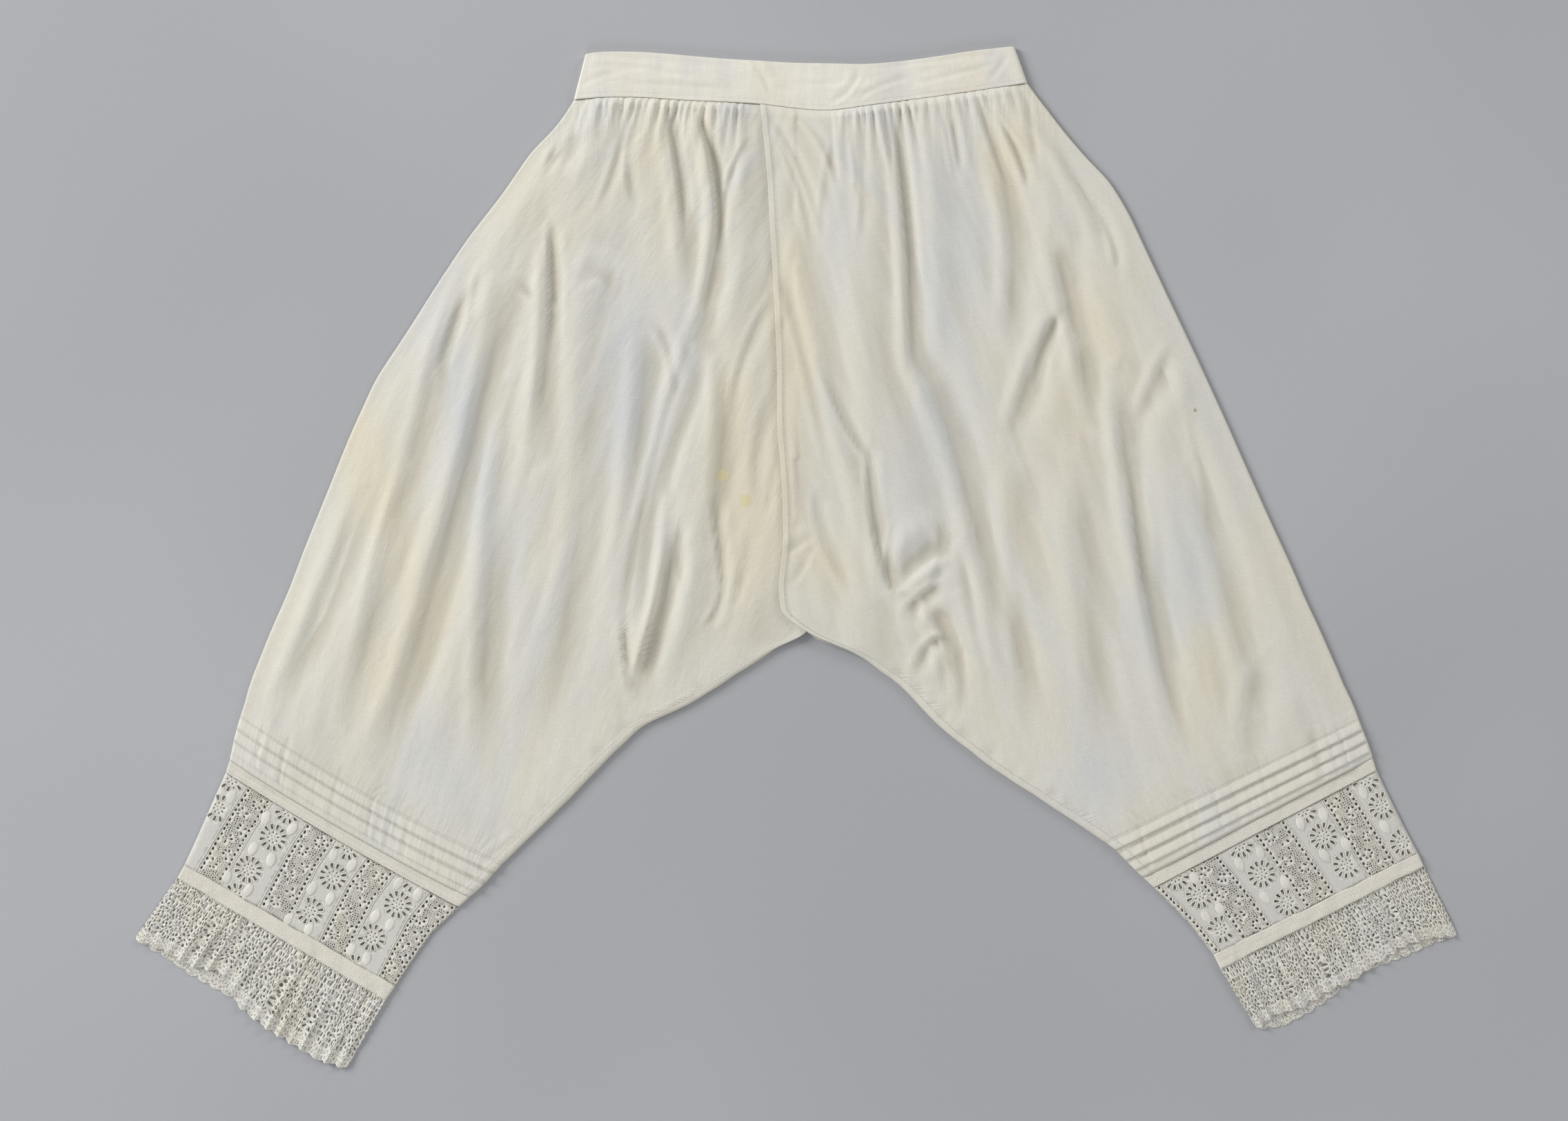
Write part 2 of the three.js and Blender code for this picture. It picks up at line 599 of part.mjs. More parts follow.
function add(name, geometry, color, roughness) {
  const material = new THREE.MeshStandardMaterial({ color, roughness, metalness: 0 });
  const mesh = new THREE.Mesh(geometry.translate(-MIDDLE[0], -MIDDLE[1], 0), material);
  mesh.name = name;
  group.add(mesh);
}

add('waistband', waistband(), COTTON, 0.9);
add('leg_left', leg(LEFT_LEG, LEFT_TUCKS, LEFT_HEM.band, false), COTTON, 0.9);
add('leg_right', leg(RIGHT_LEG, RIGHT_TUCKS, RIGHT_HEM.band, true), COTTON, 0.9);
for (const [side, hem, sides, flowers, frillTable] of [
  ['left', LEFT_HEM, LEFT_LACE_SIDES, LEFT_FLOWERS, LEFT_FRILL],
  ['right', RIGHT_HEM, RIGHT_LACE_SIDES, RIGHT_FLOWERS, RIGHT_FRILL],
]) {
  add(`hem_band_${side}`, ring(hem.band, hem.lace, { columns: 17, rows: 1, thick: TAPE_WALL }),
    COTTON, 0.92);
  add(`insertion_${side}_front`, insertion(hem, sides, flowers, REST_Z), LACE, 0.9);
  add(`insertion_${side}_back`, insertion(hem, sides, [], 0), LACE, 0.9);
  add(`tape_${side}`, ring(hem.tape, hem.frill, { columns: 12, rows: 1, thick: TAPE_WALL }),
    COTTON, 0.92);
  add(`frill_${side}`, frill(hem.frill, frillTable, 20, 3 * RUFFLES), LACE, 0.9);
}

export default group;
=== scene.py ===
import json
import math

import bpy
import numpy as np
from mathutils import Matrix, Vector, geometry

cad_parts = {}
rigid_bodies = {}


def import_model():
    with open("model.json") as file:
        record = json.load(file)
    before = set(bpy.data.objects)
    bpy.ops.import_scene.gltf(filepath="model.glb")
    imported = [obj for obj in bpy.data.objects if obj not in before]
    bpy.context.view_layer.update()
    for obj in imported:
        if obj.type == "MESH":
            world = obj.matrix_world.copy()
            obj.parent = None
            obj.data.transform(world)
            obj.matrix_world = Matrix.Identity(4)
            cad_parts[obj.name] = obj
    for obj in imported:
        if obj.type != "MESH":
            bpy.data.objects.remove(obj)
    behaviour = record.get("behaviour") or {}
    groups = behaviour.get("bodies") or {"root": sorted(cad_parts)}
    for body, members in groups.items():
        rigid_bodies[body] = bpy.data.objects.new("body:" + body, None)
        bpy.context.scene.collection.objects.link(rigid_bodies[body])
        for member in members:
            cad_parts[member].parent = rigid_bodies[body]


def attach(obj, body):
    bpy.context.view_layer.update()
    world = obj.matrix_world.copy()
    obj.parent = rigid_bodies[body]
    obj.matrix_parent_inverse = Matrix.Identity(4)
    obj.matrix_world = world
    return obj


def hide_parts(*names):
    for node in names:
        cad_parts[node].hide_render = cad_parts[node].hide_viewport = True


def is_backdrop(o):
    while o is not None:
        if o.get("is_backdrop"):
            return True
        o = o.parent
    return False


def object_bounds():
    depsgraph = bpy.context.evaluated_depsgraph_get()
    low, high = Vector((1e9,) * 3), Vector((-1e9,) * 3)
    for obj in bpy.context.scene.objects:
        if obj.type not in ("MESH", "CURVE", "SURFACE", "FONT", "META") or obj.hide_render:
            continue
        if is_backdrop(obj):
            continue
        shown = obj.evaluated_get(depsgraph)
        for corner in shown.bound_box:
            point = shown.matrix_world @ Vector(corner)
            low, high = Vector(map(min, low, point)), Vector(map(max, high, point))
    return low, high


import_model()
CAD_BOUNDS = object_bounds()

bl_info = {
    "name": "Open Drawers",
    "version": (1, 0, 0),
    "blender": (4, 5, 0),
    "location": "View3D > Sidebar > Drawers",
    "description": "Sews cotton open drawers with tucks, eyelet and net lace and frills",
    "category": "Object",
}


def named(columns, *rows):
    """The rows of a table, each value under its column's name."""
    return [dict(zip(columns.split(), row)) for row in rows]


# Drafting grid in millimetres, waist toward +y. The finished garment is moved by MIDDLE.
MM = 0.001
MIDDLE = np.array([0.6, 1.0])
BODY = "root"

# Cloth heights and seams, from the surface that the garment lies on
SEAM = 0.1
REST_Z = 1.7
FRONT_WALL = 1.4
BAND_REST_Z = 2.5
BAND_WALL = 2.0
BAND_WIDTH = 340.0
BAND_DEPTH = 35
BAND_POINTS = 361
TAPE_WALL = 1.6
LACE_Z = 2.0
LACE_BACK_Z = 0.45
LACE_BACK_SHIFT = 13.5
STRIP_TOP = 0.004
STRIP_BOTTOM = 0.998
HEM_WIDTH = 5.5
HEM_RISE = 0.4
FELLED_WIDER = 0.55
LEG_ROW = 3.2
LEG_COLUMNS = (16, 134)
FAR = 500.0
FOLD_ARC = np.radians([-60, -30, 0, 30, 60])

# Main folds, gathers and tucks
PUFF = 2.3
FOLD_LIMIT = 5.4
FOLD_STEPS = 8
STEEP_SIDE = 0.6
GENTLE_SIDE = 1.35
GATHER_RISE = 2.0
SEWN_RISE = 0.22
LAP_LIFT = 2.3
TUCK_DEPTH = 7.2
TUCK_RISE = 1.35
NO_STITCH = 20.0

# Eyelet embroidery and net lace
PETALS = 12
PETAL_RING = 8.2
PETAL_LENGTH = 5.3
PETAL_WIDTH = 3.0
FLOWER_RADIUS = 11.3
FLOWER_RINGS = ((8, 0.5, 3.9, (7, 1.7, 1.0)), (3, 0, 1.5, (6, 0.9, 0.8)))
LEAF_CLEAR = 5.2
FRILL_LENGTH = 290.0
FRILL_DEPTH = 62.0
FRILL_REPEAT = 29
RUFFLES = 17
RUFFLE_RISE = 3.0
SCALLOP = 3.2
FRILL_MESH = 0.0031
FRILL_BORDER = 0.050

# Waistband stations from its left fold to its right fold
WAISTBAND = named(
    "top lower",
    ((-161, 386), (-170, 351)),
    ((-150, 388), (-150, 353)),
    ((-118, 388), (-118, 353)),
    ((-84, 385), (-84, 350.5)),
    ((-49, 382), (-49, 349)),
    ((-28, 381), (-28, 348)),
    ((0, 379), (0, 344)),
    ((26, 379), (26, 342)),
    ((52, 378), (52, 346)),
    ((78, 380), (80, 350)),
    ((108, 384), (112, 354)),
    ((138, 389), (146, 359)),
    ((168, 392), (178, 364)),
)

# Leg sections from waist to hem: the folded outer edge, and the free edge of front and back
LEFT_LEG = named(
    "fold front back sag follow",
    ((-170, 351), (25, 343), (-1, 343), 0, 1),
    ((-174, 344), (25, 337), (-1, 336), 0, 0.9),
    ((-184, 330), (24, 324), (-1, 323), 0, 0.6),
    ((-203, 311), (24, 306), (-1, 304), 0, 0.3),
    ((-224, 280), (23, 284), (-1, 282)),
    ((-252, 244), (23, 253), (-1, 251)),
    ((-274, 211), (21, 218), (-1, 217)),
    ((-298, 173), (20, 178), (-1, 177)),
    ((-322, 137), (19, 136), (-1, 136)),
    ((-342, 93), (19, 90), (-1, 90)),
    ((-360, 48), (18, 42), (-1, 42)),
    ((-377, 6), (17, -4), (-1, -4)),
    ((-389, -26), (15, -40), (-1, -36)),
    ((-398, -46), (9, -59), (-1, -60)),
    ((-404, -60), (-36, -78), (-33, -82)),
    ((-410, -75), (-81, -108), (-79, -112), 1),
    ((-416, -90), (-118, -127), (-117, -129), 2),
    ((-420, -102), (-150, -159), (-149, -160), 3),
    ((-422, -110), (-179, -189), (-178, -190), 4),
    ((-424, -116), (-207, -216), (-206, -217), 4.5),
)
LEFT_TUCKS = named(
    "fold front sag",
    ((-428, -129), (-230, -241), 5),
    ((-430.5, -138.5), (-236.5, -248.5), 4.5),
    ((-432.5, -148), (-244.5, -256), 4),
)
LEFT_HEM = dict(
    band=dict(fold=(-434, -155), front=(-250, -260.5), sag=3),
    lace=dict(fold=(-437, -164.5), front=(-258, -268), sag=2),
    tape=dict(fold=(-469, -236), front=(-307, -329), sag=0),
    frill=dict(fold=(-474, -245), front=(-314, -339), sag=0),
)
LEFT_LACE_SIDES = named(
    "fold front",
    ((-447, -187), (-279, -288)),
    ((-458, -212), (-294, -309)),
)
RIGHT_LEG = named(
    "fold front back sag follow",
    ((178, 364), (-27, 347), (1, 345), 0, 1),
    ((183, 357), (-26, 341), (1, 339), 0, 0.9),
    ((193, 344), (-25, 328), (1, 327), 0, 0.6),
    ((206, 327), (-23, 310), (1, 309), 0, 0.3),
    ((223, 307), (-21, 287), (1, 286)),
    ((241, 289), (-20, 262), (1, 262)),
    ((256, 264), (-18, 232), (1, 232)),
    ((269, 236), (-16, 195), (1, 195)),
    ((286, 200), (-14, 150), (1, 150)),
    ((306, 158), (-14, 102), (1, 102)),
    ((329, 108), (-10, 54), (1, 54)),
    ((348, 65), (-9, 12), (1, 12)),
    ((365, 27), (-13, -22), (1, -20)),
    ((380, -5), (-11, -43), (1, -46)),
    ((391, -31), (12, -59), (12, -61)),
    ((401, -52), (46, -72), (46, -73)),
    ((409, -70), (81, -98), (81, -99)),
    ((416, -86), (110, -129), (110, -130)),
    ((421, -98), (147, -158), (147, -159)),
    ((426, -108), (184, -182), (184, -183)),
    ((429, -115), (216, -203), (216, -204)),
)
RIGHT_TUCKS = named(
    "fold front sag",
    ((435, -131), (245, -224), 0),
    ((438.5, -139.5), (253, -232), 0),
    ((441.5, -148), (260.5, -239.5), 0),
)
RIGHT_HEM = dict(
    band=dict(fold=(443, -153.5), front=(267, -245.5), sag=0),
    lace=dict(fold=(446, -163), front=(275, -253), sag=0),
    tape=dict(fold=(478, -227), front=(321, -305), sag=0),
    frill=dict(fold=(482, -236), front=(326, -315), sag=0),
)
RIGHT_LACE_SIDES = named(
    "fold front",
    ((456, -184), (290, -268)),
    ((467, -206), (306, -285)),
)

# Folds pressed into both fronts, each a curve drawn through three places
FOLDS = named(
    "start via end width depth",
    ((-97, 338), (-88, 292), (-80, 206), 8, 1.0),
    ((-74, 338), (-58, 262), (-74, 168), 7, 1.4),
    ((-72, 176), (-102, 72), (-129, -44), 9, 1.0),
    ((-112, 176), (-118, 90), (-134, -30), 10, 0.9),
    ((-94, 10), (-103, -44), (-121, -102), 7, 1.3),
    ((-92, 56), (-94, 22), (-91, -12), 7, 0.8),
    ((-57, 160), (-54, 90), (-64, 6), 9, 0.9),
    ((-187, 242), (-188, 178), (-198, 84), 8, 1.3),
    ((-168, 328), (-176, 314), (-187, 301), 7, 1.0),
    ((-221, 198), (-260, 30), (-318, -160), 11, 1.15),
    ((-215, 128), (-232, -8), (-238, -160), 10, 0.9),
    ((-332, 44), (-362, -36), (-396, -116), 10, 0.9),
    ((-243, 250), (-288, 92), (-342, -124), 9, 0.8),
    ((-154, 146), (-164, 20), (-190, -130), 12, 0.6),
    ((77, 343), (86, 250), (92, 146), 7, 1.5),
    ((92, 160), (130, 64), (169, -112), 10, 1.0),
    ((155, 306), (168, 245), (166, 172), 9, 0.9),
    ((195, 330), (224, 282), (242, 237), 9, 1.0),
    ((199, 240), (213, 190), (230, 106), 9, 1.1),
    ((203, 186), (186, 152), (167, 94), 8, 1.0),
    ((249, 138), (263, 22), (296, -138), 9, 1.3),
    ((-6, 300), (34, 120), (72, -14), 9, 1.2),
    ((170, 70), (174, -20), (182, -140), 12, 0.8),
    ((293, 162), (277, 134), (266, 106), 7, 0.7),
    ((358, -84), (349, -120), (353, -156), 10, 0.6),
    ((306, 66), (330, -20), (356, -110), 10, 0.65),
    ((218, 66), (226, -30), (238, -160), 12, 0.6),
    ((77, -20), (97, -2), (114, 8), 8, 1.2),
    ((102, -38), (115, -65), (118, -102), 8, 1.1),
)

# Finer creases: narrow troughs where depth is positive, thin ridges where it is negative
CREASES = named(
    "start via end width depth lean",
    ((-211, 208), (-197, 196), (-189, 192), 3.5, 0.9),
    ((-250, 206), (-264, 163), (-272, 131), 4, 0.6),
    ((-17, 200), (-36, 163), (-49, 116), 4, 0.8),
    ((-17, 68), (-20, 52), (-23, 36), 3, 0.7),
    ((-136, -107), (-134, -118), (-134, -128), 3, 0.7),
    ((160, 343), (169, 328), (179, 314), 3.5, 0.7),
    ((-17, 227), (4, 163), (25, 68), 4, 0.7),
    ((94, -49), (91, -33), (78, -28), 3.5, 0.8),
    ((75, 25), (71, -10), (77, -26), 3.4, 1.0),
    ((86, -42), (98, -30), (111, -22), 4.5, 1.3, -1),
    ((91, -93), (101, -70), (114, -63), 4.5, 1.5, -1),
    ((95, -42), (113, -68), (118, -112), 3.6, -1.1),
    ((124, -60), (128, -90), (126, -118), 4.5, 0.8),
    ((128, 32), (148, -60), (160, -96), 7, -0.7),
    ((130, 6), (135, -28), (146, -80), 6, 0.8),
    ((-97, 22), (-103, -38), (-121, -99), 6, 1.3),
    ((-63, 46), (-58, 2), (-56, -22), 3.2, 1.1),
    ((-56, -22), (-60, -38), (-68, -52), 3.2, 0.9),
    ((-87, 30), (-90, 4), (-86, -22), 3.5, 0.7),
    ((-8, 2), (4, 10), (15, 17), 2.8, 0.6),
    ((-2, -20), (8, -4), (14, 9), 2.8, 0.6),
    ((16, 48), (20, 18), (42, -28), 4.2, 0.9),
    ((46, 60), (56, 20), (62, -30), 5, -0.6),
    ((-97, 342), (-90, 300), (-85, 256), 3.0, 1.3),
    ((-75, 342), (-61, 291), (-60, 236), 3.0, 1.5),
    ((77, 338), (84, 268), (90, 200), 3.2, 1.7),
    ((66, 345), (70, 322), (74, 300), 2.6, 0.9),
    ((-188, 254), (-186, 215), (-187, 160), 3.4, 1.3),
    ((156, 338), (170, 308), (178, 284), 3.0, 1.1),
    ((119, 338), (123, 318), (126, 296), 2.8, 1.0),
    ((44, 322), (47, 300), (48, 276), 2.8, 0.8),
    ((-22, 340), (2, 302), (20, 250), 2.8, 0.9),
    ((0, 342), (20, 318), (32, 284), 2.6, 0.7),
    ((-13, 322), (2, 284), (12, 240), 2.8, 0.7),
    ((31, 341), (31, 318), (32, 300), 2.6, -0.5),
    ((-36, 320), (-50, 290), (-54, 262), 2.8, 0.8),
    ((-120, 338), (-128, 306), (-124, 270), 3.0, 0.7),
    ((-172, 340), (-182, 318), (-190, 300), 3.0, 1.0),
    ((112, 345), (118, 318), (122, 292), 2.6, 0.6),
    ((-130, 340), (-136, 306), (-150, 270), 3.2, 0.6),
    ((30, 318), (24, 288), (20, 250), 3.4, 0.6),
    ((46, 330), (52, 290), (50, 240), 3.4, 0.6),
    ((140, 350), (150, 318), (166, 280), 3, 0.6),
    ((-20, 120), (-30, 84), (-30, 40), 4.5, 0.7),
    ((-36, 20), (-40, -10), (-52, -46), 4.5, 0.6),
    ((108, 30), (112, 4), (104, -24), 4, 0.7),
    ((120, -40), (134, -70), (138, -104), 4, 0.6),
    ((-104, -30), (-112, -66), (-110, -94), 4, 0.6),
    ((-300, 60), (-316, 14), (-330, -40), 4.5, 0.45),
    ((300, 120), (312, 70), (320, 20), 4.5, 0.45),
    ((-108, 176), (-98, 160), (-90, 126), 3.5, 0.8),
    ((-166, 206), (-151, 216), (-139, 203), 5.5, 0.55),
    ((-241, 220), (-246, 200), (-249, 184), 3.5, 0.6),
    ((-254, 204), (-266, 170), (-274, 144), 3.2, 0.9),
    ((-76, 162), (-112, 42), (-128, -62), 4, -0.9),
    ((-131, -48), (-129, -82), (-123, -102), 3.4, 1.3),
    ((231, 270), (243, 246), (247, 222), 3.5, 1.0),
    ((18, 152), (38, 104), (57, 76), 3.2, 1.0),
    ((56, 82), (60, 30), (72, -22), 3.4, 1.2),
    ((203, 186), (190, 164), (184, 132), 3.4, 1.1),
    ((257, 70), (262, 20), (267, -26), 3.6, 1.0),
)

# Cream patches of painted light and shade, where the last column is positive, and bluish white
# ones:
# their long way leans by turn degrees from straight down
PAINTED_LIGHT_PATCHES = named(
    "at size turn age",
    ((-322, 55), (24, 125), -22, 0.9),
    ((-201, 278), (34, 40), -20, 0.6),
    ((-42, 43), (24, 95), -4, 1.0),
    ((-3, 157), (17, 140), 3, 0.9),
    ((24, -5), (32, 26), 30, 0.6),
    ((166, 314), (26, 44), 18, 0.9),
    ((220, 139), (26, 95), 14, 0.6),
    ((-105, 284), (16, 52), -6, 0.6),
    ((-328, -84), (34, 56), -18, 0.5),
    ((330, -60), (26, 80), 20, 0.5),
    ((-70, 320), (12, 30), 0, 0.6),
    ((-250, 91), (17, 115), -14, -0.9),
    ((-129, 139), (24, 85), -10, -0.8),
    ((124, 248), (24, 75), 5, -0.9),
    ((100, 67), (28, 64), 10, -0.6),
    ((292, -23), (32, 66), 20, -0.6),
    ((-82, 157), (12, 50), -8, -0.6),
    ((-274, -162), (60, 28), 60, -0.6),
    ((232, -170), (40, 26), -30, -0.6),
    ((30, 250), (14, 60), 6, -0.4),
)

# Pressed creases in the waistband
BAND_CREASES = named(
    "start via end width depth",
    ((-158, 376), (-120, 374), (-66, 366), 1.8, 0.4),
    ((-150, 366), (-104, 362), (-40, 358), 1.5, 0.3),
    ((-140, 382), (-96, 380), (-50, 375), 1.5, 0.25),
    ((-166, 360), (-150, 368), (-128, 372), 1.8, 0.4),
    ((-34, 380), (-26, 370), (-20, 358), 2.4, 0.5),
    ((-8, 366), (14, 362), (40, 364), 1.6, 0.35),
    ((26, 348), (40, 356), (50, 372), 2.2, 0.5),
    ((50, 352), (64, 360), (84, 366), 1.8, 0.45),
    ((60, 374), (96, 378), (140, 384), 1.5, 0.3),
    ((90, 362), (124, 370), (160, 380), 1.6, 0.35),
    ((150, 366), (158, 376), (166, 388), 2.0, 0.5),
)

# Strips of a lace insertion from its outer fold to its inner seam, with the share of the panel's
# width where each one ends, at the top and at the bottom
LEFT_STRIPS = named(
    "kind top bottom",
    ("eyelet", 0.094, 0.052),
    ("net", 0.205, 0.172),
    ("eyelet", 0.353, 0.350),
    ("net", 0.479, 0.493),
    ("eyelet", 0.610, 0.635),
    ("net", 0.733, 0.765),
    ("eyelet", 0.876, 0.919),
    ("net", 1.0, 1.0),
)
RIGHT_STRIPS = named(
    "kind top bottom",
    ("eyelet", 0.125, 0.10),
    ("net", 0.25, 0.243),
    ("eyelet", 0.413, 0.398),
    ("net", 0.557, 0.55),
    ("eyelet", 0.71, 0.71),
    ("net", 0.853, 0.86),
    ("eyelet", 0.972, 0.96),
    ("net", 1.0, 1.0),
)

# Eyelet flower centres and satin leaf centres
LEFT_FLOWERS = [
    (-431.5, -169.5), (-442, -192), (-388.5, -194), (-400.5, -214.5), (-419.5, -239),
    (-429, -260), (-343, -221.5), (-354.5, -244.5), (-372.5, -271), (-383, -291), (-292, -246.5),
    (-305, -266), (-325, -291), (-338.5, -315),
]
LEFT_LEAVES = [
    (-432.7, -183.1), (-406.2, -199.8), (-385.8, -207.5), (-415.9, -223.1), (-402.1, -231.8),
    (-435.9, -244.7), (-419.4, -254.7), (-354.2, -228.1), (-340.1, -235.6), (-370.9, -253.7),
    (-356.8, -261.4), (-389, -277.5), (-373.4, -285), (-304.5, -249.9), (-289.4, -258.3),
    (-322.3, -275), (-311.1, -281.4), (-340.9, -300.5), (-328.7, -307.1),
]
RIGHT_FLOWERS = [
    (437, -170), (450, -190), (466.5, -218), (389, -194), (405, -213.5), (423, -235.5),
    (340.5, -220), (357.5, -242.5), (377.5, -264), (291.5, -244.5), (310, -258.5), (326.5, -285),
]
RIGHT_LEAVES = [
    (435.7, -179.9), (452.3, -206.4), (387.5, -203.6), (405, -196.5), (405.9, -228.2),
    (422.4, -219.7), (356.7, -226.3), (340.6, -234.8), (360.1, -260.4), (375.7, -249),
    (306, -245.7), (325.6, -269.2), (314.8, -275.1),
]

# How far the front and the back of a frill reach, from the outer fold to the inner seam
LEFT_FRILL = named(
    "front back",
    ((-507, -292), (-507, -292)),
    ((-484, -301), (-486, -304)),
    ((-463, -313), (-466, -318)),
    ((-440, -317), (-447, -329)),
    ((-426, -344), (-427, -340)),
    ((-405, -361), (-407, -354)),
    ((-385, -373), (-387, -366)),
    ((-365, -385), (-367, -378)),
    ((-344, -391), (-345, -387)),
)
RIGHT_FRILL = named(
    "front back",
    ((508, -289), (508, -289)),
    ((489, -291), (490, -295)),
    ((469, -296), (471, -304)),
    ((451, -307), (455, -310)),
    ((431, -321), (435, -317)),
    ((409, -332), (412, -336)),
    ((387, -345), (393, -349)),
    ((367, -350), (374, -359)),
    ((354, -361), (354, -361)),
)

SIDES = {
    "left": dict(sections=LEFT_LEG, tucks=LEFT_TUCKS, hem=LEFT_HEM, panel=LEFT_LACE_SIDES,
                 strips=LEFT_STRIPS, flowers=LEFT_FLOWERS, leaves=LEFT_LEAVES, frill=LEFT_FRILL,
                 seed=11),
    "right": dict(sections=RIGHT_LEG, tucks=RIGHT_TUCKS, hem=RIGHT_HEM, panel=RIGHT_LACE_SIDES,
                  strips=RIGHT_STRIPS, flowers=RIGHT_FLOWERS, leaves=RIGHT_LEAVES,
                  frill=RIGHT_FRILL, seed=23),
}


def linear(red, green, blue):
    """A screen colour of 0 to 255 as the linear light that a shader takes."""
    shares = [value / 255 for value in (red, green, blue)]
    return tuple(s / 12.92 if s <= 0.04045 else ((s + 0.055) / 1.055) ** 2.4 for s in shares)


# ---------------------------------------------------------------------------
# Shapes worked out on the drafting grid
# ---------------------------------------------------------------------------


def lerp(a, b, t):
    return a + (b - a) * t


def smoothstep(x, low, high):
    t = np.clip((x - low) / (high - low), 0, 1)
    return t * t * (3 - 2 * t)


def column(table, name, default=0.0):
    return np.array([row.get(name, default) for row in table], float)


def read_along(values, at):
    """Rows of values read at fractional row numbers."""
    rows = np.arange(len(values))
    flat = values.reshape(len(values), -1)
    read = np.stack([np.interp(at, rows, flat[:, i]) for i in range(flat.shape[1])], -1)
    return read.reshape(np.shape(at) + values.shape[1:])


def soften(values, reach):
    """Rows smoothed over their neighbours, with the first and the last row kept in place."""
    width = int(3 * reach)
    weights = np.exp(-0.5 * (np.arange(-width, width + 1) / reach) ** 2)
    weights /= weights.sum()
    before = 2 * values[:1] - values[width:0:-1]
    after = 2 * values[-1:] - values[-2:-width - 2:-1]
    padded = np.concatenate([before, values, after])
    return sum(w * padded[i:i + len(values)] for i, w in enumerate(weights))


def rough(x, y, size, seed):
    """Smooth uneven heights from about -1 to 1, with swells of the given size across and down."""
    cells = 61
    lattice = np.random.default_rng(seed).uniform(-1, 1, (cells, cells))
    u = x / size[0] + 500
    v = y / size[1] + 500
    i = np.floor(u).astype(int)
    j = np.floor(v).astype(int)
    a = smoothstep(u - i, 0, 1)
    b = smoothstep(v - j, 0, 1)
    near = lerp(lattice[i % cells, j % cells], lattice[(i + 1) % cells, j % cells], a)
    far = lerp(lattice[i % cells, (j + 1) % cells], lattice[(i + 1) % cells, (j + 1) % cells], a)
    return lerp(near, far, b)


def fold_curve(fold):
    """A fold's curve as short straight steps."""
    start, via, end = (np.array(fold[name], float) for name in ("start", "via", "end"))
    pull = 2 * via - (start + end) / 2
    t = np.linspace(0, 1, FOLD_STEPS + 1)[:, None]
    return lerp(lerp(start, pull, t), lerp(pull, end, t), t)


def beside_fold(fold, x, y):
    """How far each point lies beside a fold's line, less than 0 on its steep side, and how far
    along the fold it lies, from 0 to 1."""
    points = fold_curve(fold)
    nearest = np.full(x.shape, np.inf)
    along = np.zeros(x.shape)
    side = np.ones(x.shape)
    for i, (a, b) in enumerate(zip(points, points[1:])):
        d = b - a
        t = np.clip(((x - a[0]) * d[0] + (y - a[1]) * d[1]) / (d @ d), 0, 1)
        away = np.hypot(x - a[0] - d[0] * t, y - a[1] - d[1] * t)
        closer = away < nearest
        along = np.where(closer, (i + t) / FOLD_STEPS, along)
        side = np.where(closer, np.sign(d[0] * (y - a[1]) - d[1] * (x - a[0])), side)
        nearest = np.minimum(nearest, away)
    return nearest * side, along


def crease(q):
    """A trough with a soft ridge on either side, q widths from its middle."""
    return 0.75 * np.exp(-((np.abs(q) - 2) ** 2)) - np.exp(-q * q)


def pressed(folds, x, y):
    """Heights of a table of folds, each steeper on one side and fading at both ends."""
    height = np.zeros(x.shape)
    for fold in folds:
        away, along = beside_fold(fold, x, y)
        ends = smoothstep(along, -0.1, 0.25) * (1 - smoothstep(along, 0.75, 1.1))
        slope = np.where(away * fold.get("lean", 1) < 0, STEEP_SIDE, GENTLE_SIDE)
        height += fold["depth"] * ends * crease(away / (fold["width"] * slope))
    return height


def band_line(name):
    """The waistband's top or lower edge as a smooth line of close points."""
    rows = np.linspace(0, len(WAISTBAND) - 1, BAND_POINTS)
    return soften(read_along(column(WAISTBAND, name), rows), 10)


def lower_edge(x):
    """Height of the waistband's lower edge at x."""
    line = band_line("lower")
    return np.interp(x, line[:, 0], line[:, 1])


def painted_light_share(x, y):
    """How cream a place is painted as painted light and shade, or how bluish where it is less than
    0.
    """
    total = np.zeros(x.shape)
    for patch in PAINTED_LIGHT_PATCHES:
        turn = math.radians(patch["turn"])
        dx = x - patch["at"][0]
        dy = y - patch["at"][1]
        across = (dx * math.cos(turn) - dy * math.sin(turn)) / patch["size"][0]
        along = (dx * math.sin(turn) + dy * math.cos(turn)) / patch["size"][1]
        total += patch["age"] * np.exp(-across ** 2 - along ** 2)
    return total


def gathers(x, y):
    """Pleats where a leg is gathered into the waistband: soft tops with narrow troughs between."""
    below = np.maximum(lower_edge(x) - y, 0)
    open_cloth = smoothstep(np.abs(x + 4), 30, 38)
    height = GATHER_RISE * np.exp(-below / 40)
    draw = np.random.default_rng(5)
    at = -178.0
    while at < 184:
        deep = draw.uniform(1.1, 3.2)
        reach = draw.uniform(13, 32) + 34 * draw.uniform() ** 3
        lean = at * draw.uniform(0.0006, 0.0026)
        wide = draw.uniform(1.1, 1.9) + draw.uniform(0.03, 0.08) * below
        q = (x - at - lean * below) / wide
        height -= deep * np.exp(-q * q) * np.exp(-(below / reach) ** 1.7)
        at += draw.uniform(4.0, 9.0)
    return height * open_cloth


def lap_lift(x, y):
    """The right front rides over the left front where the two lap at the centre."""
    return LAP_LIFT * (1 - smoothstep(x, 42, 74)) * smoothstep(y, -100, -66)


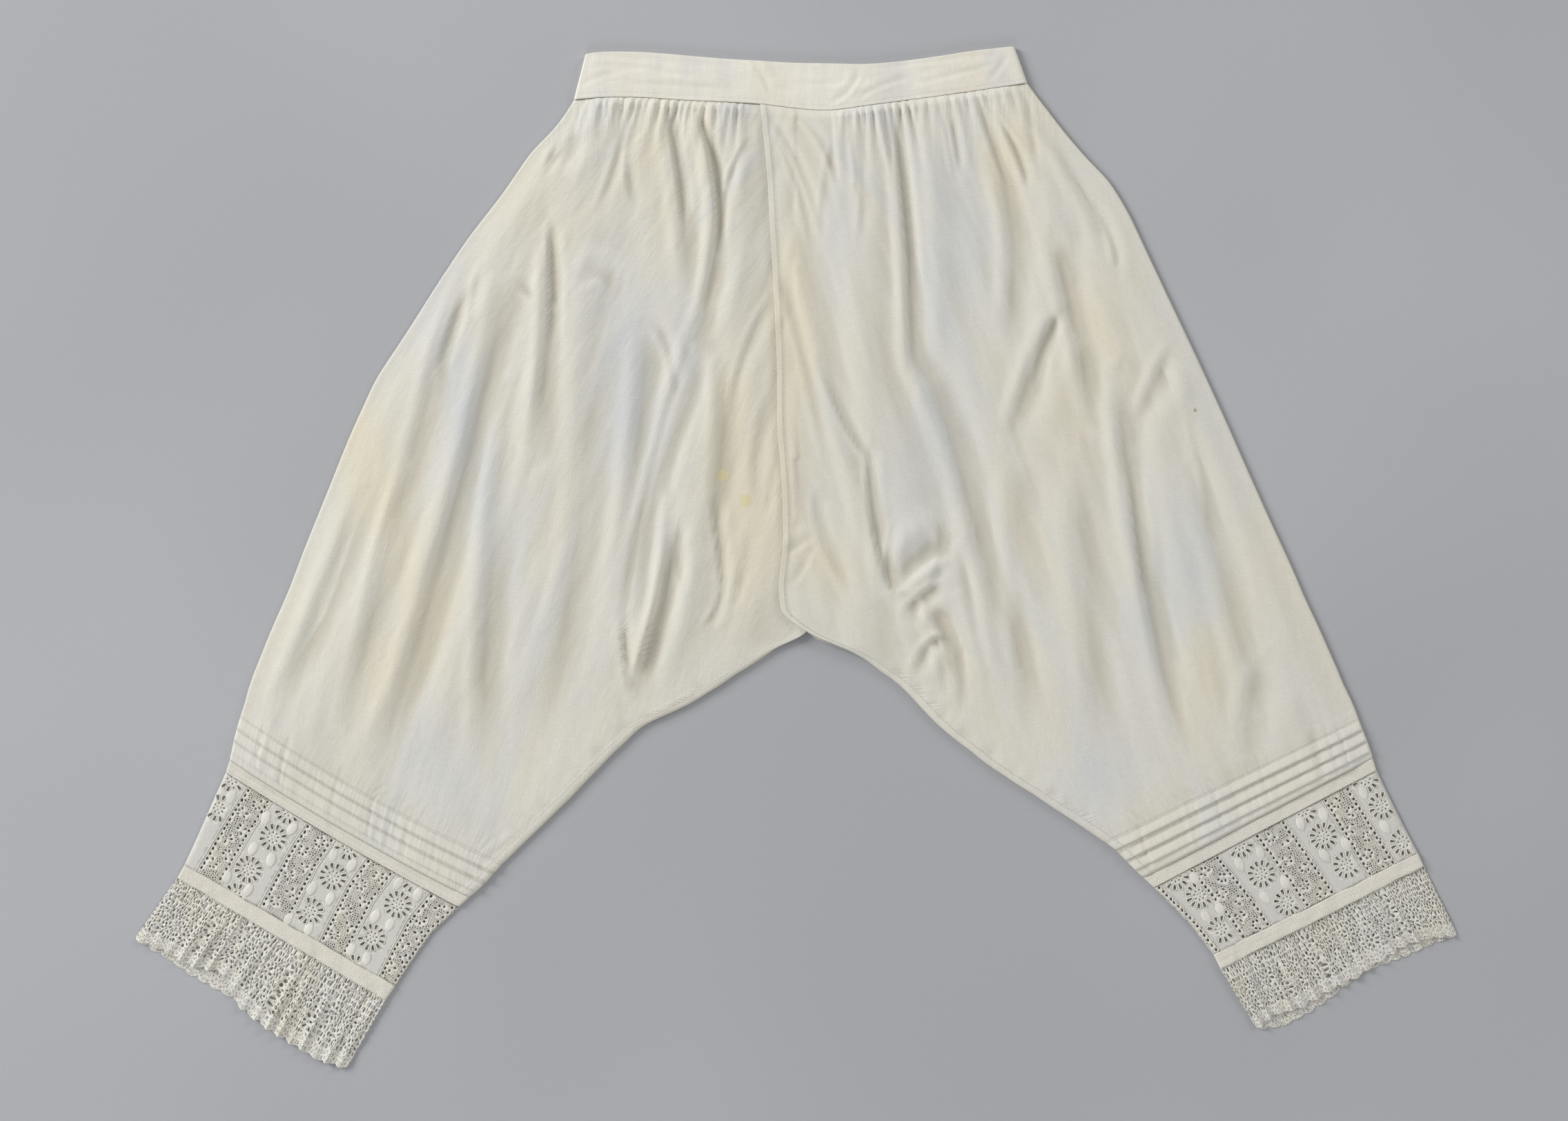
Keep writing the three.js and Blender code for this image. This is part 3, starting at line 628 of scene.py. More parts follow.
def leg_height(x, y, from_fold, free, lapped):
    """Height of a leg's front over its rest, with folds, creases, gathers and small unevenness."""
    lap = np.clip(smoothstep(np.abs(x - 2), 26, 56) + smoothstep(-y, 60, 95), 0, 1)
    main = np.clip(PUFF + 1.75 * pressed(FOLDS, x, y), 0, FOLD_LIMIT) * lerp(0.4, 1, lap)
    fine = 1.15 * pressed(CREASES, x, y) * lerp(0.7, 1, lap)
    lean = np.sign(x) * y * 0.32
    uneven = 0.6 * rough(x + lean, y, (26, 190), 3) + 0.4 * rough(x + lean, y, (11, 70), 4)
    uneven += 0.2 * rough(x + lean, y, (5, 30), 6)
    hemward = 1 - smoothstep(-y - np.abs(x) * 0.28, 20, 80) * 0.6
    close = smoothstep(from_fold, 0, 26)
    seam = lerp(1, smoothstep(free, 0, 15), smoothstep(-y, 55, 90))
    lift = lap_lift(x, y) if lapped else 0
    below = smoothstep(lower_edge(x) - y, 0, 5.5)
    height = np.maximum((main + fine + uneven) * hemward + gathers(x, y), 0)
    inseam = smoothstep(-y, 70, 95) * np.exp(-((free - 7) / 6) ** 2)
    puckers = 0.55 * rough(np.abs(x) * 0.85 - y * 0.5, free, (4.5, 30), 15) * inseam
    height = height * close * seam * lerp(SEWN_RISE, 1, below) + lift * lerp(0.55, 1, below)
    return np.maximum(height + puckers, 0)


def on_section(fold, free, inset, sag):
    """Points on sections, at distances in from the folded edge, with the sections' sag."""
    across = free - fold
    length = np.linalg.norm(across, axis=-1)[:, None]
    unit = across[:, None, :] / length[..., None]
    s = inset / length
    down = np.sign(across[:, :1]) * sag[:, None] * 4 * s * (1 - s)
    x = fold[:, :1] + unit[..., 0] * inset + down * unit[..., 1]
    y = fold[:, 1:] + unit[..., 1] * inset - down * unit[..., 0]
    return x, y


def flat_tube(lines, columns, wall, height, trim=None, closed=None, felled=0.0):
    """The outside of a tube of cloth laid flat: its back on the ground, its fold and its front.

    lines holds fold, front, back and sag for each cross line, and columns the number of steps
    across the back and the front. closed says, line by line, how far front and back meet at
    their free edge, where the hem is wider by the share felled. The result holds grids of
    points, distances and heights.
    """
    turn = (REST_Z + wall) / 2
    fold, front, back, sag = (lines[name] for name in ("fold", "front", "back", "sag"))
    back_wide = np.linalg.norm(back - fold, axis=1)[:, None]
    front_wide = np.linalg.norm(front - fold, axis=1)[:, None]
    shut = np.zeros_like(back_wide) if closed is None else closed[:, None]
    wider = 1 + felled * shut

    free_back = np.concatenate([[0, 0.7, 2.5], np.linspace(6, 12, 2)])
    steps = np.linspace(0, 1, columns[0] + 1)
    inset_back = np.concatenate([
        back_wide - free_back[None, :],
        lerp(back_wide - 16, turn, steps[None, :]),
    ], axis=1)
    back_x, back_y = on_section(fold, back, inset_back, sag)
    back_free = back_wide - inset_back
    back_z = shut * 0.9 * (1 - smoothstep(back_free, 0, 2.5))

    inset_arc = np.broadcast_to(turn * (1 - np.cos(FOLD_ARC)), (len(fold), len(FOLD_ARC)))
    arc_x, arc_y = on_section(fold, front, inset_arc, sag)
    arc_z = np.broadcast_to(turn * (1 + np.sin(FOLD_ARC)), arc_x.shape)

    free_front = np.array([HEM_WIDTH + 2.2, HEM_WIDTH + 0.7, HEM_WIDTH, HEM_WIDTH - 0.7, 3.2,
                           1.4, 0.5, 0])
    steps = np.linspace(0, 1, columns[1] + 1)
    inset_front = np.concatenate([
        lerp(turn, front_wide - (HEM_WIDTH + 4) * wider, steps[None, :]),
        front_wide - free_front[None, :] * wider,
    ], axis=1)
    front_x, front_y = on_section(fold, front, inset_front, sag)
    free = (front_wide - inset_front) / wider
    if trim is not None:
        back_y = back_y + trim(back_x)
        arc_y = arc_y + trim(arc_x)
        front_y = front_y + trim(front_x)
    front_z = REST_Z + wall + height(front_x, front_y, inset_front - turn, free)
    edge = np.sqrt(np.clip(1 - (1 - np.clip(free / 2.5, 0, 1)) ** 2, 0, 1))
    front_z = lerp(front_z, lerp(1.3, front_z, edge), shut)

    return dict(
        x=np.concatenate([back_x, arc_x, front_x], axis=1),
        y=np.concatenate([back_y, arc_y, front_y], axis=1),
        z=np.concatenate([back_z, arc_z, front_z], axis=1),
        across=np.concatenate([-inset_back, inset_arc, inset_front], axis=1),
        free=np.concatenate([back_free, np.full(arc_x.shape, FAR), free], axis=1),
        front_from=inset_back.shape[1] + len(FOLD_ARC),
    )


def down_the_lines(lines):
    """Distance down the cloth of each cross line."""
    middle = (lines["fold"] + lines["front"]) / 2
    steps = np.linalg.norm(np.diff(middle, axis=0), axis=1)
    return np.concatenate([[0], np.cumsum(steps)])


def leg_lines(sections, tucks, hem):
    """A leg's cross lines, closely spaced from the waist to the hem band."""
    names = ("fold", "front", "back")
    keys = []
    steps = []

    def key(row, count, tuck=0.0, stitch=NO_STITCH):
        points = [row["fold"], row["front"], row.get("back", row["front"])]
        keys.append([*np.ravel(points), row.get("sag", 0), row.get("follow", 0), tuck, stitch])
        steps.append(count)

    previous = sections[0]
    for row in sections:
        gap = max(np.linalg.norm(np.subtract(row[n], previous[n])) for n in names)
        key(row, math.ceil(gap / LEG_ROW))
        previous = row
    first_tuck = len(keys)
    for row in tucks:
        fold, front = (np.array(row[n], float) for n in ("fold", "front"))
        unit = (front - fold) / np.linalg.norm(front - fold)
        square = np.sign(unit[0]) * np.array([-unit[1], unit[0]])
        up = []
        for here, last in ((fold, previous["fold"]), (front, previous["front"])):
            way = np.array(last, float) - here
            up.append(way / (way @ square))
        previous = row
        for move, count, tuck, stitch in (
            (TUCK_DEPTH + 0.6, 2, 0.0, -0.6),
            (TUCK_DEPTH, 1, 0.0, 0.0),
            (TUCK_DEPTH - 0.9, 1, 0.25, 0.9),
            (0.5, 3, TUCK_RISE, TUCK_DEPTH - 0.5),
            (0.0, 1, TUCK_RISE * 0.85, TUCK_DEPTH),
            (-0.35, 1, 0.0, TUCK_DEPTH + 0.35),
        ):
            moved = dict(fold=fold + up[0] * move, front=front + up[1] * move, sag=row["sag"])
            key(moved, count, tuck, stitch)
    key(hem, 3)

    at = np.concatenate([[0.0], *[k - 1 + np.arange(1, n + 1) / n
                                  for k, n in enumerate(steps) if k > 0]])
    values = read_along(np.array(keys), at)
    cloth = at <= first_tuck - 1
    values[cloth, :7] = soften(values[cloth, :7], 2.2)
    lines = {name: values[:, 2 * i:2 * i + 2] for i, name in enumerate(names)}
    sewn = smoothstep(-lines["front"][:, 1:], 56, 80)
    lines["front"] = lerp(lines["front"], lines["back"], sewn)
    across = lines["back"] - lines["fold"]
    along = down_the_lines(lines)
    drawn_in = 0.9 * rough(along, 0 * along, (9, 10), 27)
    drawn_in *= 1 - smoothstep(at, first_tuck - 5, first_tuck)
    shift = across / np.linalg.norm(across, axis=1)[:, None] * drawn_in[:, None] * sewn
    lines["front"] = lines["front"] + shift
    lines["back"] = lines["back"] + shift
    lines.update(sag=values[:, 6], follow=values[:, 7], tuck=values[:, 8], stitch=values[:, 9])
    return lines


def leg_cloth(side):
    """The grid of one leg."""
    lines = leg_lines(side["sections"], side["tucks"], side["hem"]["band"])
    lapped = side is SIDES["right"]
    top = side["sections"][0]
    follow = lines["follow"][:, None]

    def trim(x):
        """How far the top of the leg moves to follow the waistband's lower edge."""
        out = np.sign(top["fold"][0])
        line = np.interp(x * out, np.sort([out * top["fold"][0], out * top["front"][0]]),
                         [top["front"][1], top["fold"][1]])
        return follow * (lower_edge(x) - SEAM - line)

    draw = np.random.default_rng(side["seed"])
    marks = [(place, draw.uniform(0.9, 2.2), draw.uniform(0.3, 1.0))
             for place in draw.uniform(20, 215, 26)]

    def height(x, y, from_fold, free):
        base = leg_height(x, y, from_fold, free, lapped)
        hem = HEM_RISE * smoothstep(-free, -HEM_WIDTH - 0.4, -HEM_WIDTH + 0.4)
        in_tuck = lines["tuck"][:, None] > 0.01
        pucker = sum(deep * np.exp(-((from_fold - place + 0.1 * (y + 200)) / wide) ** 2)
                     for place, wide, deep in marks)
        tuck = lines["tuck"][:, None] * (1 - 0.35 * pucker)
        near = np.exp(-np.clip(np.abs(lines["stitch"][:, None]) - 9, 0, 40) / 5)
        return base + hem + tuck - 0.5 * pucker * near * (1 - 0.4 * in_tuck)

    closed = smoothstep(-lines["front"][:, 1], 60, 84)
    grid = flat_tube(lines, LEG_COLUMNS, FRONT_WALL, height, trim, closed, FELLED_WIDER)
    grid["down"] = np.broadcast_to(down_the_lines(lines)[:, None], grid["x"].shape)
    grid["stitch"] = np.broadcast_to(lines["stitch"][:, None], grid["x"].shape)
    # Patches of painted light and shade, cream and bluish, kept as a point attribute
    grid["age"] = painted_light_share(grid["x"], grid["y"])
    below = np.maximum(lower_edge(grid["x"]) - grid["y"], 0)
    in_tucks = grid["stitch"] < NO_STITCH - 1
    near_tucks = smoothstep(-np.abs(grid["stitch"] - 9), -40, -9) * in_tucks
    grid["gather"] = np.exp(-below / 24) * smoothstep(np.abs(grid["x"] + 4), 26, 40)
    grid["pucker"] = 0.35 * near_tucks
    patchy = np.clip(0.5 + 0.9 * rough(grid["down"], 0 * grid["down"], (22, 10), 33), 0, 1)
    beside_seam = np.exp(-((grid["free"] - 7.4) / 2.6) ** 2) * closed[:, None]
    grid["ruck"] = 0.9 * patchy * beside_seam * ~in_tucks
    return grid


def painted_fold_shade(z, front_from):
    """Where the front of a leg lies lower than the cloth around it, from 0 to 1: the mask of the
    painted shade in the folds.
    """
    wide = z[:, front_from:].copy()
    for _ in range(2):
        for axis, reach in ((0, 7), (1, 5)):
            wide = sum(np.roll(wide, k, axis) for k in range(-reach, reach + 1)) / (2 * reach + 1)
    low = np.zeros(z.shape)
    low[:, front_from:] = np.clip((wide - z[:, front_from:]) / 1.1, 0, 1)
    low[:, front_from:front_from + 12] = 0
    low[-10:] = 0
    low[:4] = 0
    return low


def ring_cloth(start, end, wall, rows, unevenness, dip=0.0, lap=0.0, wavy=0.0):
    """The grid of a band of cloth round a leg, between two cross lines that it may lap over."""
    length = np.linalg.norm(np.subtract(start["fold"], end["fold"]))
    t = np.linspace((SEAM - lap) / length, 1 + lap / length, rows + 1)[:, None]
    lines = {name: lerp(np.array(start[key], float), np.array(end[key], float), t)
             for name, key in (("fold", "fold"), ("front", "front"), ("back", "front"))}
    lines["sag"] = lerp(start["sag"], end["sag"], t[:, 0])
    wide = np.linalg.norm(lines["front"][0] - lines["fold"][0])

    def height(x, y, from_fold, free):
        waves = unevenness * rough(x, y, (14, 9), 8) + 0.5 * unevenness * rough(x, y, (4, 4), 9)
        bend = dip * np.exp(-((free - 34) / 9) ** 2) - 0.6 * dip * np.exp(-((free - 20) / 7) ** 2)
        return (waves + bend) * smoothstep(from_fold, 0, 10)

    grid = flat_tube(lines, (12, int(wide / 1.7)), wall, height, closed=np.ones(rows + 1))
    grid["down"] = np.broadcast_to(down_the_lines(lines)[:, None], grid["x"].shape)
    across = lines["front"][0] - lines["fold"][0]
    down = np.sign(across[0]) * np.array([across[1], -across[0]]) / wide
    sway = wavy * rough(grid["across"], grid["down"], (11, 25), 19)
    sway = sway * smoothstep(grid["across"], 0, 8)
    sway -= 0.7 * dip * np.exp(-((grid["free"] - 30) / 12) ** 2)
    grid["x"] = grid["x"] + sway * down[0]
    grid["y"] = grid["y"] + sway * down[1]
    grid["stitch"] = np.full(grid["x"].shape, NO_STITCH)
    return grid


def waistband_cloth():
    """The grid of the waistband: a ring laid flat, its ends meeting at the centre of the back."""
    turn = (BAND_REST_Z + BAND_WALL) / 2
    edge = turn / BAND_WIDTH
    back = np.linspace(0.5 - 0.4 / BAND_WIDTH, edge, 60)
    fold = edge * (1 - np.cos(FOLD_ARC))
    front = np.linspace(edge, 1 - edge, 190)
    s = np.concatenate([back, fold, front, 1 - fold[::-1], 1 - back[::-1]])
    z = np.concatenate([0 * back, turn * (1 + np.sin(FOLD_ARC)), 0 * front + 2 * turn,
                        turn * (1 + np.sin(FOLD_ARC[::-1])), 0 * back])
    on_top = np.concatenate([0 * back, 0 * fold, 0 * front + 1, 0 * fold, 0 * back])
    top = read_along(band_line("top"), s * (BAND_POINTS - 1))
    lower = read_along(band_line("lower"), s * (BAND_POINTS - 1))
    v = np.concatenate([[0, 0.02], np.linspace(0.06, 0.9, 14), [0.94, 0.97, 1]])[:, None]
    x = lerp(top[:, 0], lower[:, 0], v)
    y = lerp(top[:, 1], lower[:, 1], v)
    ends = smoothstep(s, 0, 0.05) * smoothstep(1 - s, 0, 0.05)
    uneven = 0.28 * rough(x, y, (40, 6), 14) + 0.15 * rough(x, y, (14, 4), 15)
    swell = 0.5 * np.sin(np.pi * s) * np.sin(np.pi * v)
    front_rise = (pressed(BAND_CREASES, x, y) + uneven + swell) * ends * on_top
    free = (1 - v) * BAND_DEPTH
    line = np.exp(-((free - 3.5) / 0.9) ** 2)
    z = z + front_rise - 0.05 * on_top * line
    across = np.cumsum(np.concatenate([[0], np.hypot(np.diff(x[0]), np.diff(y[0]))]))
    return dict(
        x=x, y=y, z=z + 0 * x,
        across=np.broadcast_to(across, x.shape),
        down=np.broadcast_to(v * BAND_DEPTH, x.shape),
        free=np.broadcast_to(free, x.shape),
        stitch=np.full(x.shape, NO_STITCH),
        front_from=len(back) + len(FOLD_ARC),
    )


# ---------------------------------------------------------------------------
# Lace on the drafting grid
# ---------------------------------------------------------------------------


def strips_of(side):
    """Each strip of a lace panel: its kind and its two sides, as shares at top and bottom."""
    left = (0.0, 0.0)
    for strip in side["strips"]:
        right = (strip["top"], strip["bottom"])
        yield strip["kind"], left, right
        left = right


class LacePanel:
    """The flat lace panel of one leg: s runs from its outer fold to its inner seam, t down it."""

    def __init__(self, side):
        hem = side["hem"]
        rows = [hem["lace"], *side["panel"], hem["tape"]]
        self.fold = column(rows, "fold")
        self.front = column(rows, "front")
        steps = np.linalg.norm(np.diff(self.fold, axis=0), axis=1)
        self.t = np.concatenate([[0], np.cumsum(steps)]) / steps.sum()
        self.length = steps.sum()
        self.sag = hem["lace"]["sag"]
        across = self.front[0] - self.fold[0]
        self.width = np.linalg.norm(across)
        unit = across / self.width
        self.down = np.sign(across[0]) * np.array([unit[1], -unit[0]])
        along = self.fold[-1] - self.fold[0]
        self.angle = math.atan2(along[1], along[0])

    def place(self, s, t):
        """Points of the panel at s and t, on the drafting grid."""
        s, t = np.broadcast_arrays(np.asarray(s, float), np.asarray(t, float))
        ends = []
        for line in (self.fold, self.front):
            ends.append(np.stack([np.interp(t, self.t, line[:, i]) for i in range(2)], -1))
        sag = self.sag * (1 - t) * 4 * s * (1 - s)
        return lerp(ends[0], ends[1], s[..., None]) + sag[..., None] * self.down


def teardrop(count, grow=0.0):
    """A petal-shaped outline, narrow toward the flower's middle, with its long axis along x."""
    turn = np.linspace(0, 2 * math.pi, count, endpoint=False)
    x = (PETAL_LENGTH / 2 + grow) * np.cos(turn)
    narrow = 0.62 + 0.38 * np.cos(turn)
    y = (PETAL_WIDTH / 2 + grow) * np.sin(turn) * narrow
    return np.stack([x, y], -1)


def oval(count, long, short):
    turn = np.linspace(0, 2 * math.pi, count, endpoint=False)
    return np.stack([long / 2 * np.cos(turn), short / 2 * np.sin(turn)], -1)


def turned(points, angle, to=(0, 0)):
    c, s = math.cos(angle), math.sin(angle)
    return points @ np.array([[c, s], [-s, c]]) + np.asarray(to, float)


def inside(outline, points):
    """Which points lie inside a closed outline."""
    found = np.zeros(len(points), bool)
    for (ax, ay), (bx, by) in zip(outline, np.roll(outline, -1, axis=0)):
        crosses = (ay > points[:, 1]) != (by > points[:, 1])
        rise = by - ay if by != ay else 1.0
        found ^= crosses & (points[:, 0] < (bx - ax) * (points[:, 1] - ay) / rise + ax)
    return found


def flower_petals(centre, lean):
    """Places and angles of a flower's petals."""
    turns = lean + 2 * math.pi * np.arange(PETALS) / PETALS
    spots = np.stack([np.cos(turns), np.sin(turns)], -1) * PETAL_RING + np.asarray(centre)
    return list(zip(spots, turns))


def cut_cloth(outline, holes, fill):
    """A flat cloth with holes: its points, its triangles and which points edge a hole."""
    x, y = outline.T
    if (x * np.roll(y, -1) - y * np.roll(x, -1)).sum() < 0:
        outline = outline[::-1]
    points = [*outline]
    faces = [list(range(len(outline)))]
    for hole in holes:
        faces.append(list(range(len(points), len(points) + len(hole))))
        points.extend(hole)
    edging = range(len(outline), len(points))
    points.extend(fill)
    verts, _, found, sources, _, owners = geometry.delaunay_2d_cdt(
        [Vector(p) for p in points], [], faces, 0, 1e-5, True)
    kept = [face for face, owner in zip(found, owners) if list(owner) == [0]]
    used = sorted({i for face in kept for i in face})
    new = {old: i for i, old in enumerate(used)}
    edges = np.array([any(k in edging for k in sources[i]) for i in used])
    return (np.array([verts[i] for i in used]),
            [[new[i] for i in face] for face in kept], edges)


def strip_outline(panel, left, right):
    """The outline of one lace strip between two boundaries, given as shares at top and bottom."""
    t = np.linspace(STRIP_TOP, STRIP_BOTTOM, 34)
    a = panel.place(lerp(*left, t), t)
    b = panel.place(lerp(*right, t), t)
    across = np.linspace(0, 1, 12)[1:-1]
    low = lerp(a[-1], b[-1], across[:, None])
    s = lerp(lerp(*left, STRIP_TOP), lerp(*right, STRIP_TOP), across)
    high = panel.place(s, STRIP_TOP)
    return np.concatenate([a, low, b[::-1], high[::-1]])


def even_points(outline, step, edge=0.0):
    """Rows of points over the box round an outline."""
    low, high = outline.min(0) + edge, outline.max(0) - edge
    xs, ys = np.meshgrid(np.arange(low[0], high[0], step), np.arange(low[1], high[1], step))
    return np.stack([xs.ravel(), ys.ravel()], -1)


def off_holes(points, holes, gap):
    """The points that lie clear of every hole."""
    clear = np.ones(len(points), bool)
    for hole in holes:
        middle = hole.mean(0)
        radius = np.hypot(*(hole - middle).T).max()
        clear &= np.hypot(*(points - middle).T) > radius + gap
    return points[clear]


def spread_points(outline, step, holes, seed):
    """Uneven points over a cloth, clear of its outline and of its holes."""
    points = even_points(outline, step)
    points += np.random.default_rng(seed).uniform(-0.2, 0.2, points.shape) * step
    points = points[inside(outline, points)]
    for a in outline:
        points = points[np.hypot(*(points - a).T) > 0.5 * step]
    return off_holes(points, holes, 0.6)


def eyelet_holes(outline, side, lean, moved=(0, 0)):
    """The eyelets of the flowers that lie on a strip, with the places of their rims."""
    leaves = np.array(side["leaves"]) + moved
    holes = []
    rims = []
    middles = []
    for flower in np.array(side["flowers"], float) + moved:
        reach = np.hypot(*(outline - flower).T).min()
        if reach > FLOWER_RADIUS and not inside(outline, flower[None, :])[0]:
            continue
        for spot, turn in flower_petals(flower, lean):
            hole = turned(teardrop(12), turn, spot)
            free = np.hypot(*(leaves - spot).T).min() > LEAF_CLEAR
            if free and inside(outline, turned(teardrop(10, 0.55), turn, spot)).all():
                holes.append(hole)
                rims.append((spot, turn))
        for count, first, radius, shape in FLOWER_RINGS:
            for k in range(count):
                turn = lean + 2 * math.pi * (k + first) / count
                spot = flower + radius * np.array([math.cos(turn), math.sin(turn)])
                hole = turned(oval(*shape), turn, spot)
                if inside(outline, hole).all():
                    holes.append(hole)
        middles.append(flower)
    return holes, rims, middles


def net_holes(panel, left, right, seed):
    """Openings of a net lace strip: oval rows along its edges and staggered rosettes."""
    draw = np.random.default_rng(seed)
    wide = panel.width * (right[0] - left[0] + right[1] - left[1]) / 2
    spots = []

    def put(across, down, angle, long, short):
        t = down / panel.length
        s = lerp(lerp(*left, t), lerp(*right, t), across / wide)
        spots.append((panel.place(s, t), angle + panel.angle, long, short))

    for edge in (2.9, wide - 2.9):
        for down in np.arange(2.6, panel.length - 2, 4.4):
            jog = draw.uniform(-0.35, 0.35, 2)
            put(edge + jog[0], down + jog[1], draw.uniform(-0.3, 0.3), draw.uniform(2.2, 3.1),
                draw.uniform(1.6, 2.3))
    for k, down in enumerate(np.arange(8, panel.length - 5, 11.5)):
        across = wide * (0.36 if k % 2 else 0.64)
        start = draw.uniform(0, 1)
        for i in range(7):
            turn = start + 2 * math.pi * i / 7
            radius = draw.uniform(3.1, 3.7)
            put(across + radius * math.sin(turn), down + radius * math.cos(turn), turn,
                draw.uniform(2.1, 3.1), draw.uniform(1.4, 2.0))
    kept = []
    for spot, angle, long, short in spots:
        reach = long / 2
        if all(math.hypot(*(spot - p)) > reach + r + 0.28 for p, r in kept):
            kept.append((spot, reach))
            yield turned(oval(7, long, short), angle, spot)


# ---------------------------------------------------------------------------
# Meshes and objects
# ---------------------------------------------------------------------------


def quads(rows, columns):
    first = np.arange(rows - 1)[:, None] * columns + np.arange(columns - 1)[None, :]
    return np.stack([first, first + 1, first + columns + 1, first + columns], -1).reshape(-1, 4)


def placed(x, y, z):
    """Grid points in metres, in the frame of the finished garment."""
    return np.stack([x - MIDDLE[0], y - MIDDLE[1], z + 0 * x], -1).reshape(-1, 3) * MM


def new_mesh(name, points, faces, uv=None, fields=None, materials=(), picks=None):
    """A mesh object of given points and faces, with a UV map and point attributes."""
    mesh = bpy.data.meshes.new(name)
    mesh.from_pydata(points.tolist(), [], [list(map(int, face)) for face in faces])
    if uv is not None:
        layer = mesh.uv_layers.new(name="UVMap")
        corners = np.empty(len(mesh.loops), int)
        mesh.loops.foreach_get("vertex_index", corners)
        layer.uv.foreach_set("vector", np.asarray(uv, float)[corners].ravel())
    for field, values in (fields or {}).items():
        attribute = mesh.attributes.new(field, "FLOAT", "POINT")
        attribute.data.foreach_set("value", np.asarray(values, float).ravel())
    for material in materials:
        mesh.materials.append(material)
    if picks is not None:
        mesh.polygons.foreach_set("material_index", np.asarray(picks, int))
    mesh.polygons.foreach_set("use_smooth", [True] * len(mesh.polygons))
    mesh.update()
    piece = bpy.data.objects.new(name, mesh)
    bpy.context.scene.collection.objects.link(piece)
    return piece


def face_up(points, faces, upward):
    """Faces wound so that those among the marked points look up."""
    corners = np.array([face[:3] for face in faces])
    a, b, c = (points[corners[:, i]] for i in range(3))
    lift = np.cross(b - a, c - a)[:, 2]
    chosen = upward[corners].all(1)
    if lift[chosen].sum() < 0:
        return [list(face)[::-1] for face in faces]
    return [list(face) for face in faces]


def thicken(piece, thickness, rounds=0):
    """Gives a sheet its thickness inward, and rounds its edges if asked."""
    solid = piece.modifiers.new("Thickness", "SOLIDIFY")
    solid.thickness = thickness
    solid.offset = -1
    solid.use_even_offset = False
    if rounds:
        soft = piece.modifiers.new("Soft edges", "SUBSURF")
        soft.levels = rounds
        soft.render_levels = rounds
        soft.uv_smooth = "PRESERVE_BOUNDARIES"


def sew_grid(name, grid, material, thickness, rounds=0, fields=None):
    """A cloth piece from a grid of a flat tube."""
    rows, columns = grid["x"].shape
    points = placed(grid["x"], grid["y"], grid["z"])
    upward = np.zeros((rows, columns), bool)
    upward[:, grid["front_from"]:grid["front_from"] + 60] = True
    faces = face_up(points, quads(rows, columns), upward.ravel())
    uv = np.stack([grid["across"], grid["down"]], -1).reshape(-1, 2) * MM
    values = dict(hem=grid["free"] * MM, tuck=grid["stitch"] * MM)
    values.update(fields or {})
    piece = new_mesh(name, points, faces, uv, values, [material])
    thicken(piece, thickness, rounds)
    return piece


def finish_piece(piece, slot, *nodes):
    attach(piece, BODY)
    if nodes:
        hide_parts(*nodes)


def deselect_all():
    for item in bpy.context.view_layer.objects:
        item.select_set(False)


# ---------------------------------------------------------------------------
# Materials
# ---------------------------------------------------------------------------


def add_node(tree, kind, inputs=None, **settings):
    """A node with its settings, and its inputs set or linked by name or number."""
    made = tree.nodes.new(kind)
    for name, value in settings.items():
        setattr(made, name, value)
    for name, value in (inputs or {}).items():
        if isinstance(value, bpy.types.NodeSocket):
            tree.links.new(value, made.inputs[name])
        else:
            made.inputs[name].default_value = value
    return made


def sum_up(tree, operation, *values, clamp=False):
    node = add_node(tree, "ShaderNodeMath", dict(enumerate(values)), operation=operation,
                    use_clamp=clamp)
    return node.outputs[0]


def ramp(tree, value, low, high, to_low=0.0, to_high=1.0):
    node = add_node(tree, "ShaderNodeMapRange", {
        "Value": value, "From Min": low, "From Max": high, "To Min": to_low, "To Max": to_high,
    }, interpolation_type="SMOOTHSTEP")
    return node.outputs["Result"]


def blend_colour(tree, factor, first, second, how="MIX"):
    node = add_node(tree, "ShaderNodeMix", data_type="RGBA", blend_type=how)
    for number, value in ((0, factor), (6, first), (7, second)):
        if isinstance(value, bpy.types.NodeSocket):
            tree.links.new(value, node.inputs[number])
        elif number:
            node.inputs[number].default_value = (*value, 1)
        else:
            node.inputs[number].default_value = value
    return node.outputs[2]


def object_place(tree):
    """Places on the finished garment, in metres."""
    return add_node(tree, "ShaderNodeTexCoord").outputs["Object"]


def cloth_place(tree):
    """Distances across and down the cloth, in metres."""
    return add_node(tree, "ShaderNodeUVMap", uv_map="UVMap").outputs[0]


def stretched(tree, place, stretch, moved=(0, 0, 0)):
    node = add_node(tree, "ShaderNodeMapping",
                    {"Vector": place, "Scale": stretch, "Location": moved})
    return node.outputs[0]


def noise(tree, place, scale, detail=2.0, roughness=0.5):
    node = add_node(tree, "ShaderNodeTexNoise", {
        "Vector": place, "Scale": scale, "Detail": detail, "Roughness": roughness,
    })
    return node.outputs[0]


def split_up(tree, vector):
    return add_node(tree, "ShaderNodeSeparateXYZ", {0: vector}).outputs


def new_group(name, inputs, outputs):
    """An empty shader group with named inputs, given as (kind, default), and named outputs."""
    tree = bpy.data.node_groups.new(name, "ShaderNodeTree")
    kinds = {"value": "NodeSocketFloat", "vector": "NodeSocketVector", "colour": "NodeSocketColor"}
    for label, (kind, default) in inputs.items():
        socket = tree.interface.new_socket(name=label, in_out="INPUT", socket_type=kinds[kind])
        if default is not None:
            socket.default_value = default
    for label, kind in outputs.items():
        tree.interface.new_socket(name=label, in_out="OUTPUT", socket_type=kinds[kind])
    return tree, tree.nodes.new("NodeGroupInput"), tree.nodes.new("NodeGroupOutput")


